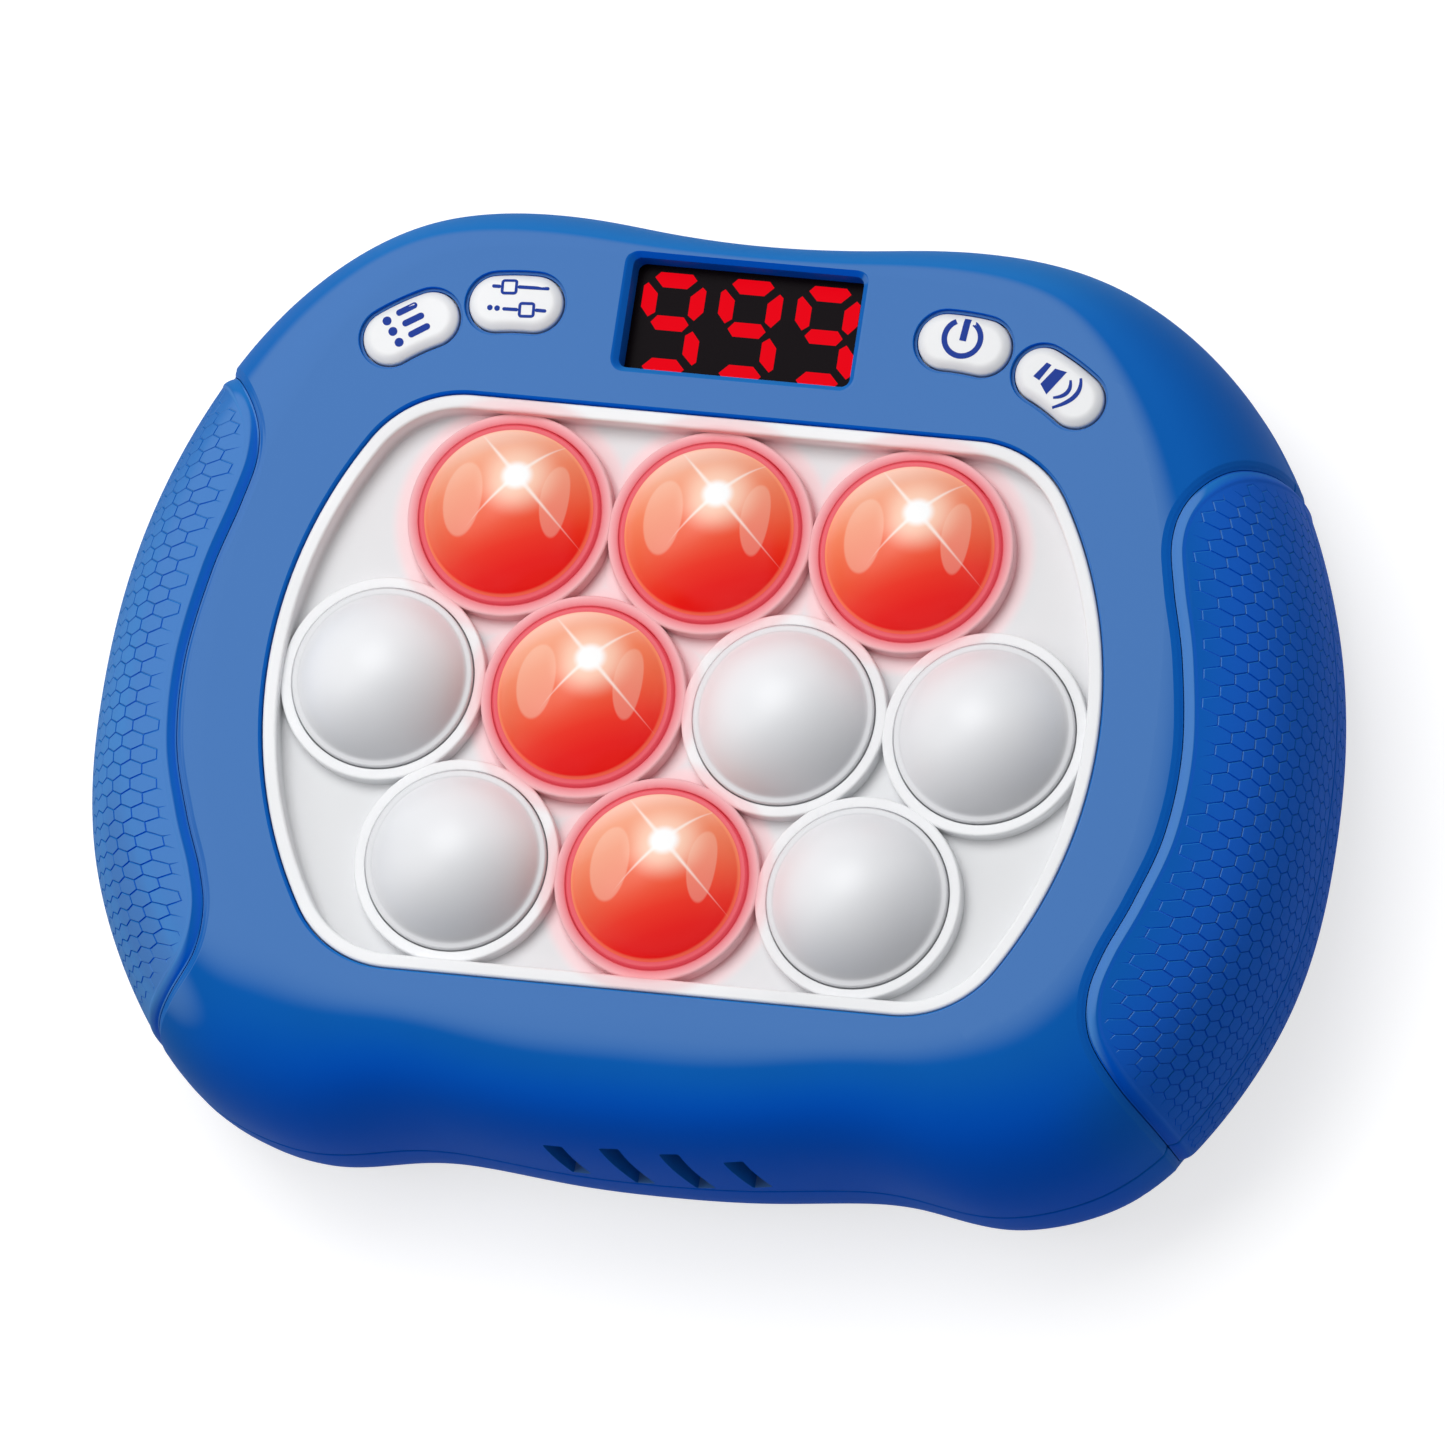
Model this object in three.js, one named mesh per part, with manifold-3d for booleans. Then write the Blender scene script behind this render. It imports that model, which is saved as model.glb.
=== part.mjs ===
// Hand-held electronic bubble pop game, lying on its flat back.
// Millimetres. +X right, +Y towards the display edge, +Z out of the face.
// The origin is in the middle of the back, where it rests.
import * as THREE from 'three';
import { mergeVertices } from 'three/addons/utils/BufferGeometryUtils.js';
import Module from 'manifold-3d';

const wasm = await Module();
wasm.setup();

// General clearances and tolerances
const fit = 0.3;
const overrun = 1;
const weld = 1e-4;
const sliver = 0.04;

// Case
const caseHalfWidth = 87.9;
const caseHalfHeight = 67.65;
const rearDepth = 19;
const frontDepth = 27;
const rearRoll = 10;
const rearPower = 2.5;
const wall = 2.4;
const rearWall = 2.2;
const lipHeight = 1.6;
const lipThickness = 1.1;

// Side grips
const gripThickness = 1.8;
const gripRearEdge = 4.8;

// Places on the case: handles beside the tray, a brow above it for the display, a chin below it
const handleWidth = 28.1;
const browHeight = 31.13;
const chinHeight = 21.34;

// Tray with its collars, which run into each other where two bubbles meet
const trayMargin = 1.6;
const traySideRadius = 64.1;
const trayCornerRadius = 16;
const trayRimWidth = 2;
const trayRimDrop = 0.2;
const trayFloorThickness = 2;
const trayFlangeWidth = 3;
const trayFlangeThickness = 2;
const collarDrop = 1.5;
const collarHeight = 2.5;
const collarOverlap = 0.2;
const collarWall = 1.6;
const trayPostRadius = 1.7;

// Bubbles
const bubbleRowCounts = [3, 4, 3];
const bubbleRingWidth = 1.1;
const bubbleDomeHeight = 7;
const bubbleDomeShares = [1, 0.68, 0.34];
const bubbleShoulder = 0.6;
const bubbleWall = 1.2;
const bubbleFlangeWidth = 1.05;
const bubbleFlangeThickness = 1.2;
const bubblePlungerRadius = 2;
const bubbleTravel = 3;

// Return boots under the bubbles and the function buttons
const bootFoot = 1.9;
const bootRadius = 5.2;
const bootTopRadius = 3;
const bootWall = 0.9;
const smallBootRadius = 3.4;
const smallBootTopRadius = 2;

// Function buttons
const buttonProud = 0.6;
const buttonBevel = 1.1;
const buttonGap = 0.4;
const buttonFlangeWidth = 0.75;
const buttonFlangeThickness = 1.2;
const buttonStemRadius = 1.8;
const outerButton = {
  fromWindow: 29.75, rise: 8.68, turn: 31, length: 14.2, halfWidth: 3.95, sag: 0.7,
};
const innerButton = {
  fromWindow: 15.25, rise: 13.68, turn: 4, length: 13.5, halfWidth: 4.05, sag: 0.4,
};

// Display
const windowRise = 13.88;
const windowWidth = 34.4;
const windowHeight = 17;
const windowCornerRadius = 1.2;
const windowChamfer = 0.9;
const windowDepth = 4.4;
const windowCollarWall = 1.6;
const lensOverlap = 1;
const lensThickness = 1.5;
const moduleInset = 0.4;

// Sound slots
const slotCount = 4;
const slotMiddleX = 1.9;
const slotPitch = 8.7;
const slotWidth = 2.2;
const slotLongHeight = 11.5;
const slotShortHeight = 9;
const slotAboveParting = 1.6;
const slotLean = 9.5;
const slotCutDepth = 17;

// Loudspeaker
const speakerRadius = 11.5;
const speakerRimThickness = 1.2;
const speakerBasketRadius = 8.5;
const speakerBasketDepth = 2.3;
const speakerMagnetRadius = 6;
const speakerMagnetDepth = 3.5;
const speakerWallGap = 1.6;
const cradleWidth = 15;
const cradleThickness = 3.4;
const cradleReach = 5.5;
const cradleGrip = 1.8;

// Main board
const boardThickness = 1.6;
const boardMargin = 3.2;
const boardChamfer = 5;
const boardUpperHalfWidth = 53;
const boardUpperChamfer = 9;
const boardTopMargin = 9.6;
const boardBossRadius = 3;
const boardBossInset = 10.4;
const boardPinRadius = 1.2;
const ledSize = 2;
const ledHeight = 0.8;
const ledFromCentre = 8;
const chipSize = 11;
const chipHeight = 1.2;
const chipPastCell = 7;

// Screws and the bosses they turn into
const screwRadius = 1.3;
const screwHeadRadius = 2.4;
const screwHeadHeight = 2;
const screwBite = 8;
const boardScrewBite = 6;
const bossWall = 2;
const bossFloor = 2;
const bossWellDepth = 12;
const browBoss = { inset: 18.85, drop: 6.1 };
const handleBoss = { inset: 13.9, drop: 5 };
const chinBoss = { inset: 15.8, drop: 7.09 };

// Battery bay, its cover and its contacts
const cellRadius = 5.25;
const cellLength = 44.5;
const cellNubRadius = 1.9;
const cellNubHeight = 1;
const cellCount = 3;
const cellPitch = 11.2;
const bayY = 2;
const bayEndRoom = 4.05;
const bayWall = 2.4;
const bayRoof = 1.5;
const bayLedge = 1.4;
const coverThickness = 1.8;
const coverLobeRadius = 5.4;
const coverLobeReach = 5;
const coverTongueWidth = 8;
const coverTongueThickness = 1.2;
const coverTongueReach = 2;
const coverTongueRoot = 3.4;
const coverTongueX = 16;
const coverSwingRoom = 1.1;
const coverStandOff = 1.2;
const coverBossRadius = 3.6;
const coverBossHeight = 7;
const coverScrewHeadHeight = 0.8;
const coverScrewRadius = 1.2;
const coverScrewReach = 4.2;
const coverScrewRoom = 0.6;
const contactThickness = 0.4;
const contactWidth = 9;
const contactHeight = 9;
const contactTabWidth = 3;
const contactTabRise = 2.2;
const springRadius = 3;
const springTipRadius = 1.6;
const springWire = 0.4;
const springTurns = 2.5;
const springSides = 4;
const springStepsPerTurn = 7;
const nubContactRadius = 1.6;
const nubContactHeight = 1;

// Leads
const leadRadius = 0.8;
const leadSides = 6;
const leadSteps = 8;
const leadStraight = 2.5;
const batteryLeadDrift = 7;
const speakerLeadStraight = 3;

// Facets
const outerStepsPerPoint = 2;
const innerStepsPerPoint = 1;
const crownSteps = 5;
const innerCrownSteps = 4;
const roundSegments = 16;
const smallSegments = 8;
const bootSegments = 6;
const cellSegments = 12;
const trayArcSteps = 3;
const cornerArcSteps = 3;
const lobeArcSteps = 8;
const beanArcSteps = 2;

// The tray takes the room inside the handles, the brow and the chin
const trayHalfWidth = caseHalfWidth - handleWidth;
const trayHalfHeight = caseHalfHeight - (browHeight + chinHeight) / 2;
const trayY = (chinHeight - browHeight) / 2;
const trayTop = trayY + trayHalfHeight;
const trayBottom = trayY - trayHalfHeight;

// The bubbles stand in a close triangular pattern, as large as the tray holds
const bubblesAcross = Math.max(...bubbleRowCounts);
const rowSlope = Math.sin(Math.PI / 3);
const bubblePitch = Math.min(
  (trayHalfWidth - trayMargin - collarOverlap) / (bubblesAcross / 2),
  (trayHalfHeight - trayMargin - collarOverlap) / (rowSlope * (bubbleRowCounts.length - 1) / 2 + 1 / 2),
);
const rowPitch = bubblePitch * rowSlope;
const collarRadius = bubblePitch / 2 + collarOverlap;
const bubbleHoleRadius = collarRadius - collarWall;
const bubbleDomeRadius = bubbleHoleRadius - bubbleRingWidth;
const bubbleFlangeRadius = bubbleHoleRadius + bubbleFlangeWidth;

// The display row is measured from the tray and the window
const windowY = trayTop + windowRise;
for (const button of [outerButton, innerButton]) {
  button.x = windowWidth / 2 + button.fromWindow;
  button.y = trayTop + button.rise;
}

// Heights, worked out from the face downwards
const face = rearDepth + frontDepth;
const faceUnder = face - wall;
const ringPlane = face - collarDrop;
const trayFloor = ringPlane - collarHeight;
const trayUnder = trayFloor - trayFloorThickness;
const trayFlangeTop = faceUnder - fit;
const bubbleFlangeTop = trayUnder - fit;
const bubbleFoot = bubbleFlangeTop - bubbleFlangeThickness;
const bootTop = bubbleFoot - fit;
const bootHeight = bubbleTravel + bootFoot;
const boardTop = bootTop - bootHeight - fit;
const boardUnder = boardTop - boardThickness;
const bootBase = boardTop + fit;
const bubbleShoulderTop = ringPlane + bubbleShoulder;
const lensTop = face - windowDepth;
const lensUnder = lensTop - lensThickness;
const bossRearTop = bossWellDepth + bossFloor;
const bossFrontBase = bossRearTop + fit;

// Outline of the case at its widest, from the middle of the display edge round the right side,
// as shares of the half width and half height
const edgeShares = [
  [0, 0.966], [0.171, 0.98], [0.33, 1], [0.546, 0.967],
  [0.743, 0.812], [0.882, 0.566], [0.973, 0.236], [1, -0.117],
  [0.962, -0.489], [0.827, -0.818], [0.69, -0.958], [0.563, -1],
  [0.456, -0.986], [0.341, -0.972], [0.171, -0.992], [0, -1],
];

// Edge of the flat face, point for point with the outline above
const faceShares = [
  [0, 0.866], [0.171, 0.867], [0.33, 0.869], [0.5, 0.829],
  [0.614, 0.696], [0.694, 0.489], [0.739, 0.223], [0.751, -0.102],
  [0.717, -0.369], [0.643, -0.575], [0.563, -0.672], [0.478, -0.719],
  [0.398, -0.735], [0.307, -0.738], [0.159, -0.738], [0, -0.738],
];

// How square the shoulder between the face and the side is: 2 is an ellipse, more is boxier
const shoulderPowers = [
  2.2, 2.2, 2.2, 2.2, 2.2, 2.3, 2.5, 2.65, 2.8, 2.7, 2.5, 2.4, 2.5, 2.8, 3.2, 3.2,
];

// Seam between the right grip and the case, from the display end to the near end
const gripSeamShares = [
  [0.885, 0.607], [0.819, 0.548], [0.768, 0.459], [0.753, 0.371],
  [0.768, 0.267], [0.799, 0.119], [0.821, -0.073], [0.813, -0.25],
  [0.779, -0.398], [0.743, -0.516], [0.728, -0.605], [0.739, -0.694],
  [0.785, -0.775], [0.836, -0.833],
];
const gripEndShares = [[0.93, -0.95], [1.2, -0.95], [1.2, 0.7], [0.97, 0.7]];

// Colours
const caseBlue = new THREE.MeshStandardMaterial({ color: 0x1f5fb4, roughness: 0.38, metalness: 0 });
const gripBlue = new THREE.MeshStandardMaterial({ color: 0x1a57ab, roughness: 0.55, metalness: 0 });
const trayWhite = new THREE.MeshStandardMaterial({ color: 0xe9eaec, roughness: 0.4, metalness: 0 });
const bubbleWhite = new THREE.MeshStandardMaterial({ color: 0xf4f5f7, roughness: 0.3, metalness: 0 });
const bubbleRed = new THREE.MeshStandardMaterial({ color: 0xf2452c, roughness: 0.3, metalness: 0 });
const buttonWhite = new THREE.MeshStandardMaterial({ color: 0xf2f3f5, roughness: 0.35, metalness: 0 });
const bootGrey = new THREE.MeshStandardMaterial({ color: 0xb9bcc0, roughness: 0.7, metalness: 0 });
const lensBlack = new THREE.MeshStandardMaterial({ color: 0x140a10, roughness: 0.15, metalness: 0 });
const moduleBlack = new THREE.MeshStandardMaterial({ color: 0x1b1b1d, roughness: 0.5, metalness: 0 });
const boardGreen = new THREE.MeshStandardMaterial({ color: 0x1c6b3a, roughness: 0.5, metalness: 0 });
const speakerBlack = new THREE.MeshStandardMaterial({ color: 0x222326, roughness: 0.6, metalness: 0 });
const plated = new THREE.MeshStandardMaterial({ color: 0xb8babd, roughness: 0.3, metalness: 1 });
const cellSleeve = new THREE.MeshStandardMaterial({ color: 0x3a3d42, roughness: 0.4, metalness: 0 });
const leadRed = new THREE.MeshStandardMaterial({ color: 0xb3261e, roughness: 0.5, metalness: 0 });
const leadBlack = new THREE.MeshStandardMaterial({ color: 0x1a1a1a, roughness: 0.5, metalness: 0 });

// Solids from closed geometries
function solid(geometry) {
  geometry.deleteAttribute('normal');
  geometry.deleteAttribute('uv');
  const merged = mergeVertices(geometry, weld);
  const corners = merged.index.array;
  const kept = [];
  for (let i = 0; i < corners.length; i += 3) {
    const [a, b, c] = [corners[i], corners[i + 1], corners[i + 2]];
    if (a !== b && b !== c && c !== a) kept.push(a, b, c);
  }
  return new wasm.Manifold(new wasm.Mesh({
    numProp: 3,
    vertProperties: new Float32Array(merged.attributes.position.array),
    triVerts: new Uint32Array(kept),
  }));
}

function geometryOf(body) {
  const mesh = body.simplify(sliver).getMesh();
  const geometry = new THREE.BufferGeometry();
  geometry.setAttribute('position', new THREE.BufferAttribute(mesh.vertProperties, 3));
  geometry.setIndex(new THREE.BufferAttribute(mesh.triVerts, 1));
  geometry.computeVertexNormals();
  return geometry;
}

function union(bodies) {
  return bodies.reduce((sum, body) => sum.add(body));
}

// Straight prism over an outline, between two heights
function prism(outline, low, high) {
  const geometry = new THREE.ExtrudeGeometry(new THREE.Shape(outline), {
    depth: high - low,
    bevelEnabled: false,
  });
  geometry.translate(0, 0, low);
  return solid(geometry);
}

function block(x, y, low, width, height, high) {
  const geometry = new THREE.BoxGeometry(width, height, high - low);
  geometry.translate(x, y, (low + high) / 2);
  return solid(geometry);
}

// Turned piece about Z: the profile runs from the axis at the bottom, outside, to the axis at the top
function turned(profile, segments) {
  const points = profile.map(([radius, height]) => new THREE.Vector2(radius, height));
  const geometry = new THREE.LatheGeometry(points, segments);
  geometry.rotateX(Math.PI / 2);
  return solid(geometry);
}

function rod(x, y, radius, low, high, segments) {
  return turned([[0, low], [radius, low], [radius, high], [0, high]], segments).translate([x, y, 0]);
}

// Skin through a stack of rings with the same number of points, lowest first, closed by flat ends
function loft(rings) {
  const count = rings[0].length;
  const points = rings.flat();
  const faces = [];
  for (let k = 0; k + 1 < rings.length; k += 1) {
    for (let i = 0; i < count; i += 1) {
      const next = (i + 1) % count;
      const [a, b] = [k * count + i, k * count + next];
      const [c, d] = [b + count, a + count];
      faces.push(a, b, c, a, c, d);
    }
  }
  const flat = (ring) => ring.map((p) => new THREE.Vector2(p.x, p.y));
  const last = (rings.length - 1) * count;
  for (const [a, b, c] of THREE.ShapeUtils.triangulateShape(flat(rings[0]), [])) {
    faces.push(a, c, b);
  }
  for (const [a, b, c] of THREE.ShapeUtils.triangulateShape(flat(rings[rings.length - 1]), [])) {
    faces.push(last + a, last + b, last + c);
  }
  const geometry = new THREE.BufferGeometry().setFromPoints(points);
  geometry.setIndex(faces);
  return solid(geometry);
}

// Wire through a row of rings that need not be level, closed by a fan at each end
function sweep(rings) {
  const count = rings[0].length;
  const faces = [];
  for (let k = 0; k + 1 < rings.length; k += 1) {
    for (let i = 0; i < count; i += 1) {
      const [a, b] = [k * count + i, k * count + ((i + 1) % count)];
      faces.push(a, b, b + count, a, b + count, a + count);
    }
  }
  const last = (rings.length - 1) * count;
  for (let i = 1; i + 1 < count; i += 1) {
    faces.push(0, i + 1, i, last, last + i, last + i + 1);
  }
  const geometry = new THREE.BufferGeometry().setFromPoints(rings.flat());
  geometry.setIndex(faces);
  return solid(geometry);
}

// Closed counter-clockwise loop through mirrored half-outline shares
function closedLoop(shares, stepsPerPoint) {
  const place = ([x, y]) => new THREE.Vector3(x * caseHalfWidth, y * caseHalfHeight, 0);
  const right = shares.map(place);
  const left = shares.slice(1, -1).reverse().map(([x, y]) => place([-x, y]));
  const curve = new THREE.CatmullRomCurve3([...right, ...left], true, 'catmullrom');
  const count = (right.length + left.length) * stepsPerPoint;
  const loop = [];
  for (let i = 0; i < count; i += 1) loop.push(curve.getPoint(1 - i / count));
  return loop;
}

// The two outlines that carry the case surface, with the outward direction and power at each point
function caseFrame(stepsPerPoint) {
  const edge = closedLoop(edgeShares, stepsPerPoint);
  const count = edge.length;
  const outward = edge.map((point, i) => {
    const along = edge[(i + 1) % count].clone().sub(edge[(i + count - 1) % count]).normalize();
    return new THREE.Vector3(along.y, -along.x, 0);
  });
  const powers = edge.map((point, i) => {
    const half = shoulderPowers.length - 1;
    const around = ((count - i) % count) / stepsPerPoint;
    const index = around > half ? 2 * half - around : around;
    const low = Math.min(Math.floor(index), half - 1);
    return THREE.MathUtils.lerp(shoulderPowers[low], shoulderPowers[low + 1], index - low);
  });
  return { edge, flat: closedLoop(faceShares, stepsPerPoint), outward, powers };
}

const outerFrame = caseFrame(outerStepsPerPoint);
const innerFrame = caseFrame(innerStepsPerPoint);

function moved(frame, loop, distance) {
  return loop.map((point, i) => point.clone().addScaledVector(frame.outward[i], -distance(i)));
}

function atHeight(loop, height) {
  return loop.map((point) => new THREE.Vector3(point.x, point.y, height));
}

// One ring of the rounded shoulder: angle 0 is at the flat, a right angle is at the widest outline
function shoulderRing(flat, widest, lowHeight, highHeight, angle, powers) {
  return widest.map((point, i) => {
    const across = Math.sin(angle) ** (2 / powers[i]);
    const up = Math.cos(angle) ** (2 / powers[i]);
    const ringPoint = flat[i].clone().lerp(point, across);
    ringPoint.z = THREE.MathUtils.lerp(lowHeight, highHeight, up);
    return ringPoint;
  });
}

// How far the wall moves in at each point: more at the sides, where the grips are let in
function sideways(frame, inset, sideInset) {
  return (i) => inset + sideInset * frame.outward[i].x ** 2;
}

// Front half of the case, moved inwards and down, with a straight stretch below to low
function frontBody(frame, steps, inset, sideInset, drop, low) {
  const widest = moved(frame, frame.edge, sideways(frame, inset, sideInset));
  const flat = moved(frame, frame.flat, (i) => 2 * sideInset * frame.outward[i].x ** 4);
  const base = rearDepth + fit / 2;
  const rings = low < base ? [atHeight(widest, low)] : [];
  for (let k = steps; k >= 0; k -= 1) {
    const angle = (Math.PI / 2) * (k / steps);
    rings.push(shoulderRing(flat, widest, base, face - drop, angle, frame.powers));
  }
  return loft(rings);
}

// Rear half of the case, moved inwards and up, from the back to top, with more rings above
function rearBody(frame, steps, inset, sideInset, lift, top, above = []) {
  const widest = moved(frame, frame.edge, sideways(frame, inset, sideInset));
  const flat = moved(frame, frame.edge, sideways(frame, rearRoll + inset / 2, sideInset));
  const powers = frame.edge.map(() => rearPower);
  const rings = [];
  for (let k = 0; k <= steps; k += 1) {
    const angle = (Math.PI / 2) * (k / steps);
    rings.push(shoulderRing(flat, widest, top, lift, angle, powers));
  }
  return loft([...rings, ...above]);
}

// Outline of the tray rim: straight ends, wide side arcs and corner arcs, grown outwards
function trayOutline(grow) {
  const halfHeight = trayHalfHeight + grow;
  const sideRadius = traySideRadius + grow;
  const corner = trayCornerRadius + grow;
  const sideCentre = trayHalfWidth - traySideRadius;
  const cornerY = halfHeight - corner;
  const cornerX = sideCentre + Math.sqrt((sideRadius - corner) ** 2 - cornerY ** 2);
  const turn = Math.atan2(cornerY, cornerX - sideCentre);
  const path = new THREE.Path();
  path.absarc(cornerX, cornerY, corner, Math.PI / 2, turn, true);
  path.absarc(sideCentre, 0, sideRadius, turn, -turn, true);
  path.absarc(cornerX, -cornerY, corner, -turn, -Math.PI / 2, true);
  path.absarc(-cornerX, -cornerY, corner, -Math.PI / 2, turn - Math.PI, true);
  path.absarc(-sideCentre, 0, sideRadius, turn - Math.PI, -turn - Math.PI, true);
  path.absarc(-cornerX, cornerY, corner, -turn - Math.PI, -1.5 * Math.PI, true);
  const outline = path.getPoints(trayArcSteps).map((p) => new THREE.Vector2(p.x, p.y + trayY));
  return outline.filter((p, i) => i === 0 || p.distanceTo(outline[i - 1]) > weld).reverse();
}

// Bean outline: a strip of the given half width along a shallow arc, grown outwards
function beanOutline(button, grow) {
  const radius = button.halfWidth + grow;
  const half = button.length / 2 - button.halfWidth;
  const spine = (half ** 2 + button.sag ** 2) / (2 * button.sag);
  const swing = Math.asin(half / spine);
  const centre = button.sag / 2 - spine;
  const tip = Math.PI / 2 - swing;
  const endX = spine * Math.cos(tip);
  const endY = centre + spine * Math.sin(tip);
  const path = new THREE.Path();
  path.absarc(0, centre, spine + radius, Math.PI - tip, tip, true);
  path.absarc(endX, endY, radius, tip, tip - Math.PI, true);
  path.absarc(0, centre, spine - radius, tip, Math.PI - tip, false);
  path.absarc(-endX, endY, radius, 2 * Math.PI - tip, Math.PI - tip, true);
  const outline = path.getPoints(beanArcSteps);
  const kept = outline.filter((p, i) => i === 0 || p.distanceTo(outline[i - 1]) > weld);
  if (kept[0].distanceTo(kept[kept.length - 1]) < weld) kept.pop();
  return kept.reverse();
}

function placedOutline(button, grow, side) {
  const turn = THREE.MathUtils.degToRad(button.turn) * -side;
  const centre = new THREE.Vector2(0, 0);
  const place = new THREE.Vector2(side * button.x, button.y);
  return beanOutline(button, grow).map((p) => p.clone().rotateAround(centre, turn).add(place));
}

function roundedBox(width, height, radius) {
  const [w, h] = [width / 2 - radius, height / 2 - radius];
  const path = new THREE.Path();
  path.absarc(w, h, radius, 0, Math.PI / 2, false);
  path.absarc(-w, h, radius, Math.PI / 2, Math.PI, false);
  path.absarc(-w, -h, radius, Math.PI, 1.5 * Math.PI, false);
  path.absarc(w, -h, radius, 1.5 * Math.PI, 2 * Math.PI, false);
  return path.getPoints(cornerArcSteps);
}

// Centres of the bubbles, row by row from the display side
const bubbleCentres = [];
bubbleRowCounts.forEach((count, row) => {
  const y = trayY + ((bubbleRowCounts.length - 1) / 2 - row) * rowPitch;
  for (let i = 0; i < count; i += 1) {
    bubbleCentres.push(new THREE.Vector2((i - (count - 1) / 2) * bubblePitch, y));
  }
});
const litBubbles = [1, 2, 3, 5, 9];

// Each function button with its side: -1 is left
const functionButtons = [
  { name: 'menu', shape: outerButton, side: -1 },
  { name: 'settings', shape: innerButton, side: -1 },
  { name: 'power', shape: innerButton, side: 1 },
  { name: 'volume', shape: outerButton, side: 1 },
];

const game = new THREE.Group();

function addPiece(name, body, material, x = 0, y = 0) {
  const mesh = new THREE.Mesh(geometryOf(body), material);
  mesh.name = name;
  mesh.position.set(x, y, 0);
  game.add(mesh);
}

// Region of a side grip seen from above, grown outwards; side 1 is right
function gripOutline(grow, side) {
  const place = ([x, y]) => new THREE.Vector3(x * caseHalfWidth, y * caseHalfHeight, 0);
  const seam = new THREE.CatmullRomCurve3(gripSeamShares.map(place), false, 'catmullrom');
  const steps = (gripSeamShares.length - 1) * 2;
  const line = seam.getPoints(steps);
  const shifted = line.map((p, i) => {
    const before = line[Math.max(i - 1, 0)];
    const after = line[Math.min(i + 1, steps)];
    const along = after.clone().sub(before).normalize();
    return new THREE.Vector2(p.x + along.y * grow, p.y - along.x * grow);
  });
  const outer = gripEndShares.map(place).map((p) => new THREE.Vector2(p.x, p.y));
  const outline = [...shifted, ...outer];
  return outline.map((p) => new THREE.Vector2(side * p.x, p.y));
}

const rearTop = rearDepth - fit / 2;
const frontOuter = frontBody(outerFrame, crownSteps, 0, 0, 0, face);
const rearOuter = rearBody(outerFrame, crownSteps, 0, 0, 0, rearTop);

function frontInner(inset, low) {
  return frontBody(innerFrame, innerCrownSteps, inset, 0, inset, low);
}

const frontSkinFloor = frontInner(gripThickness, rearDepth - overrun);
const frontCore = frontInner(gripThickness + fit, 0);

function rearInner(inset) {
  const above = [atHeight(moved(innerFrame, innerFrame.edge, () => inset), face)];
  return rearBody(innerFrame, innerCrownSteps, inset, 0, 0, rearTop, above);
}

const rearSkinFloor = rearInner(gripThickness);
const rearCore = rearInner(gripThickness + fit);

function gripRegions(grow, low, high) {
  return [-1, 1].map((side) => prism(gripOutline(grow, side), low, high));
}

// Grip skins, split at the parting line
['left', 'right'].forEach((hand, i) => {
  const frontRegion = gripRegions(0, rearDepth, face + overrun)[i];
  const rearRegion = gripRegions(0, gripRearEdge, rearDepth)[i];
  addPiece(`${hand}_grip_front`, frontOuter.intersect(frontRegion).subtract(frontSkinFloor), gripBlue);
  addPiece(`${hand}_grip_rear`, rearOuter.intersect(rearRegion).subtract(rearSkinFloor), gripBlue);
});

// Places of the screw bosses, mirrored left and right
const caseBosses = [
  { x: (outerButton.x + caseHalfWidth - browBoss.inset) / 2, y: outerButton.y - browBoss.drop },
  { x: caseHalfWidth - handleBoss.inset, y: trayY - handleBoss.drop },
  { x: trayHalfWidth - chinBoss.inset, y: trayBottom - chinBoss.drop },
].flatMap(({ x, y }) => [{ x: -x, y }, { x, y }]);
const boardBossY = trayHalfHeight - boardBossInset;
const boardBossReach = traySideRadius + trayFlangeWidth + 2 * fit + boardBossRadius;
const boardBossFromCentre = Math.sqrt(boardBossReach ** 2 - boardBossY ** 2);
const boardBossX = trayHalfWidth - traySideRadius + boardBossFromCentre;
const boardBosses = [
  { x: -boardBossX, y: trayY + boardBossY, screw: true },
  { x: boardBossX, y: trayY + boardBossY, screw: false },
  { x: -boardBossX, y: trayY - boardBossY, screw: false },
  { x: boardBossX, y: trayY - boardBossY, screw: true },
];
const bossHoleRadius = screwRadius + fit;
const caseBossRadius = bossHoleRadius + bossWall;
const wellRadius = screwHeadRadius + fit;

const buttonFlangeLow = faceUnder - fit - buttonFlangeThickness;

// Outline of the main board, wide under the tray and narrower under the display row
function boardOutline(grow) {
  const half = Math.max(trayHalfWidth + boardMargin, boardBossX + boardBossRadius) + grow;
  const upper = boardUpperHalfWidth + grow;
  const low = trayBottom + boardMargin - grow;
  const step = trayTop - boardMargin + grow;
  const top = caseHalfHeight - boardTopMargin + grow;
  const right = [
    [half - boardChamfer, low],
    [half, low + boardChamfer],
    [half, step],
    [upper, step],
    [upper, top - boardUpperChamfer],
    [upper - boardUpperChamfer, top],
  ];
  const left = right.slice().reverse().map(([x, y]) => [-x, y]);
  return [...right, ...left].map(([x, y]) => new THREE.Vector2(x, y));
}

// Room that the button flanges and the display need under the face
const lensWidth = windowWidth + 2 * lensOverlap;
const lensHeight = windowHeight + 2 * lensOverlap;
const displayRowRoom = union([
  block(0, windowY, boardTop + fit, lensWidth + 2 * fit, lensHeight + 2 * fit, lensTop + fit),
  ...functionButtons.map(({ shape, side }) => (
    prism(placedOutline(shape, buttonFlangeWidth + fit, side), buttonFlangeLow - fit, faceUnder))),
]);

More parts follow.
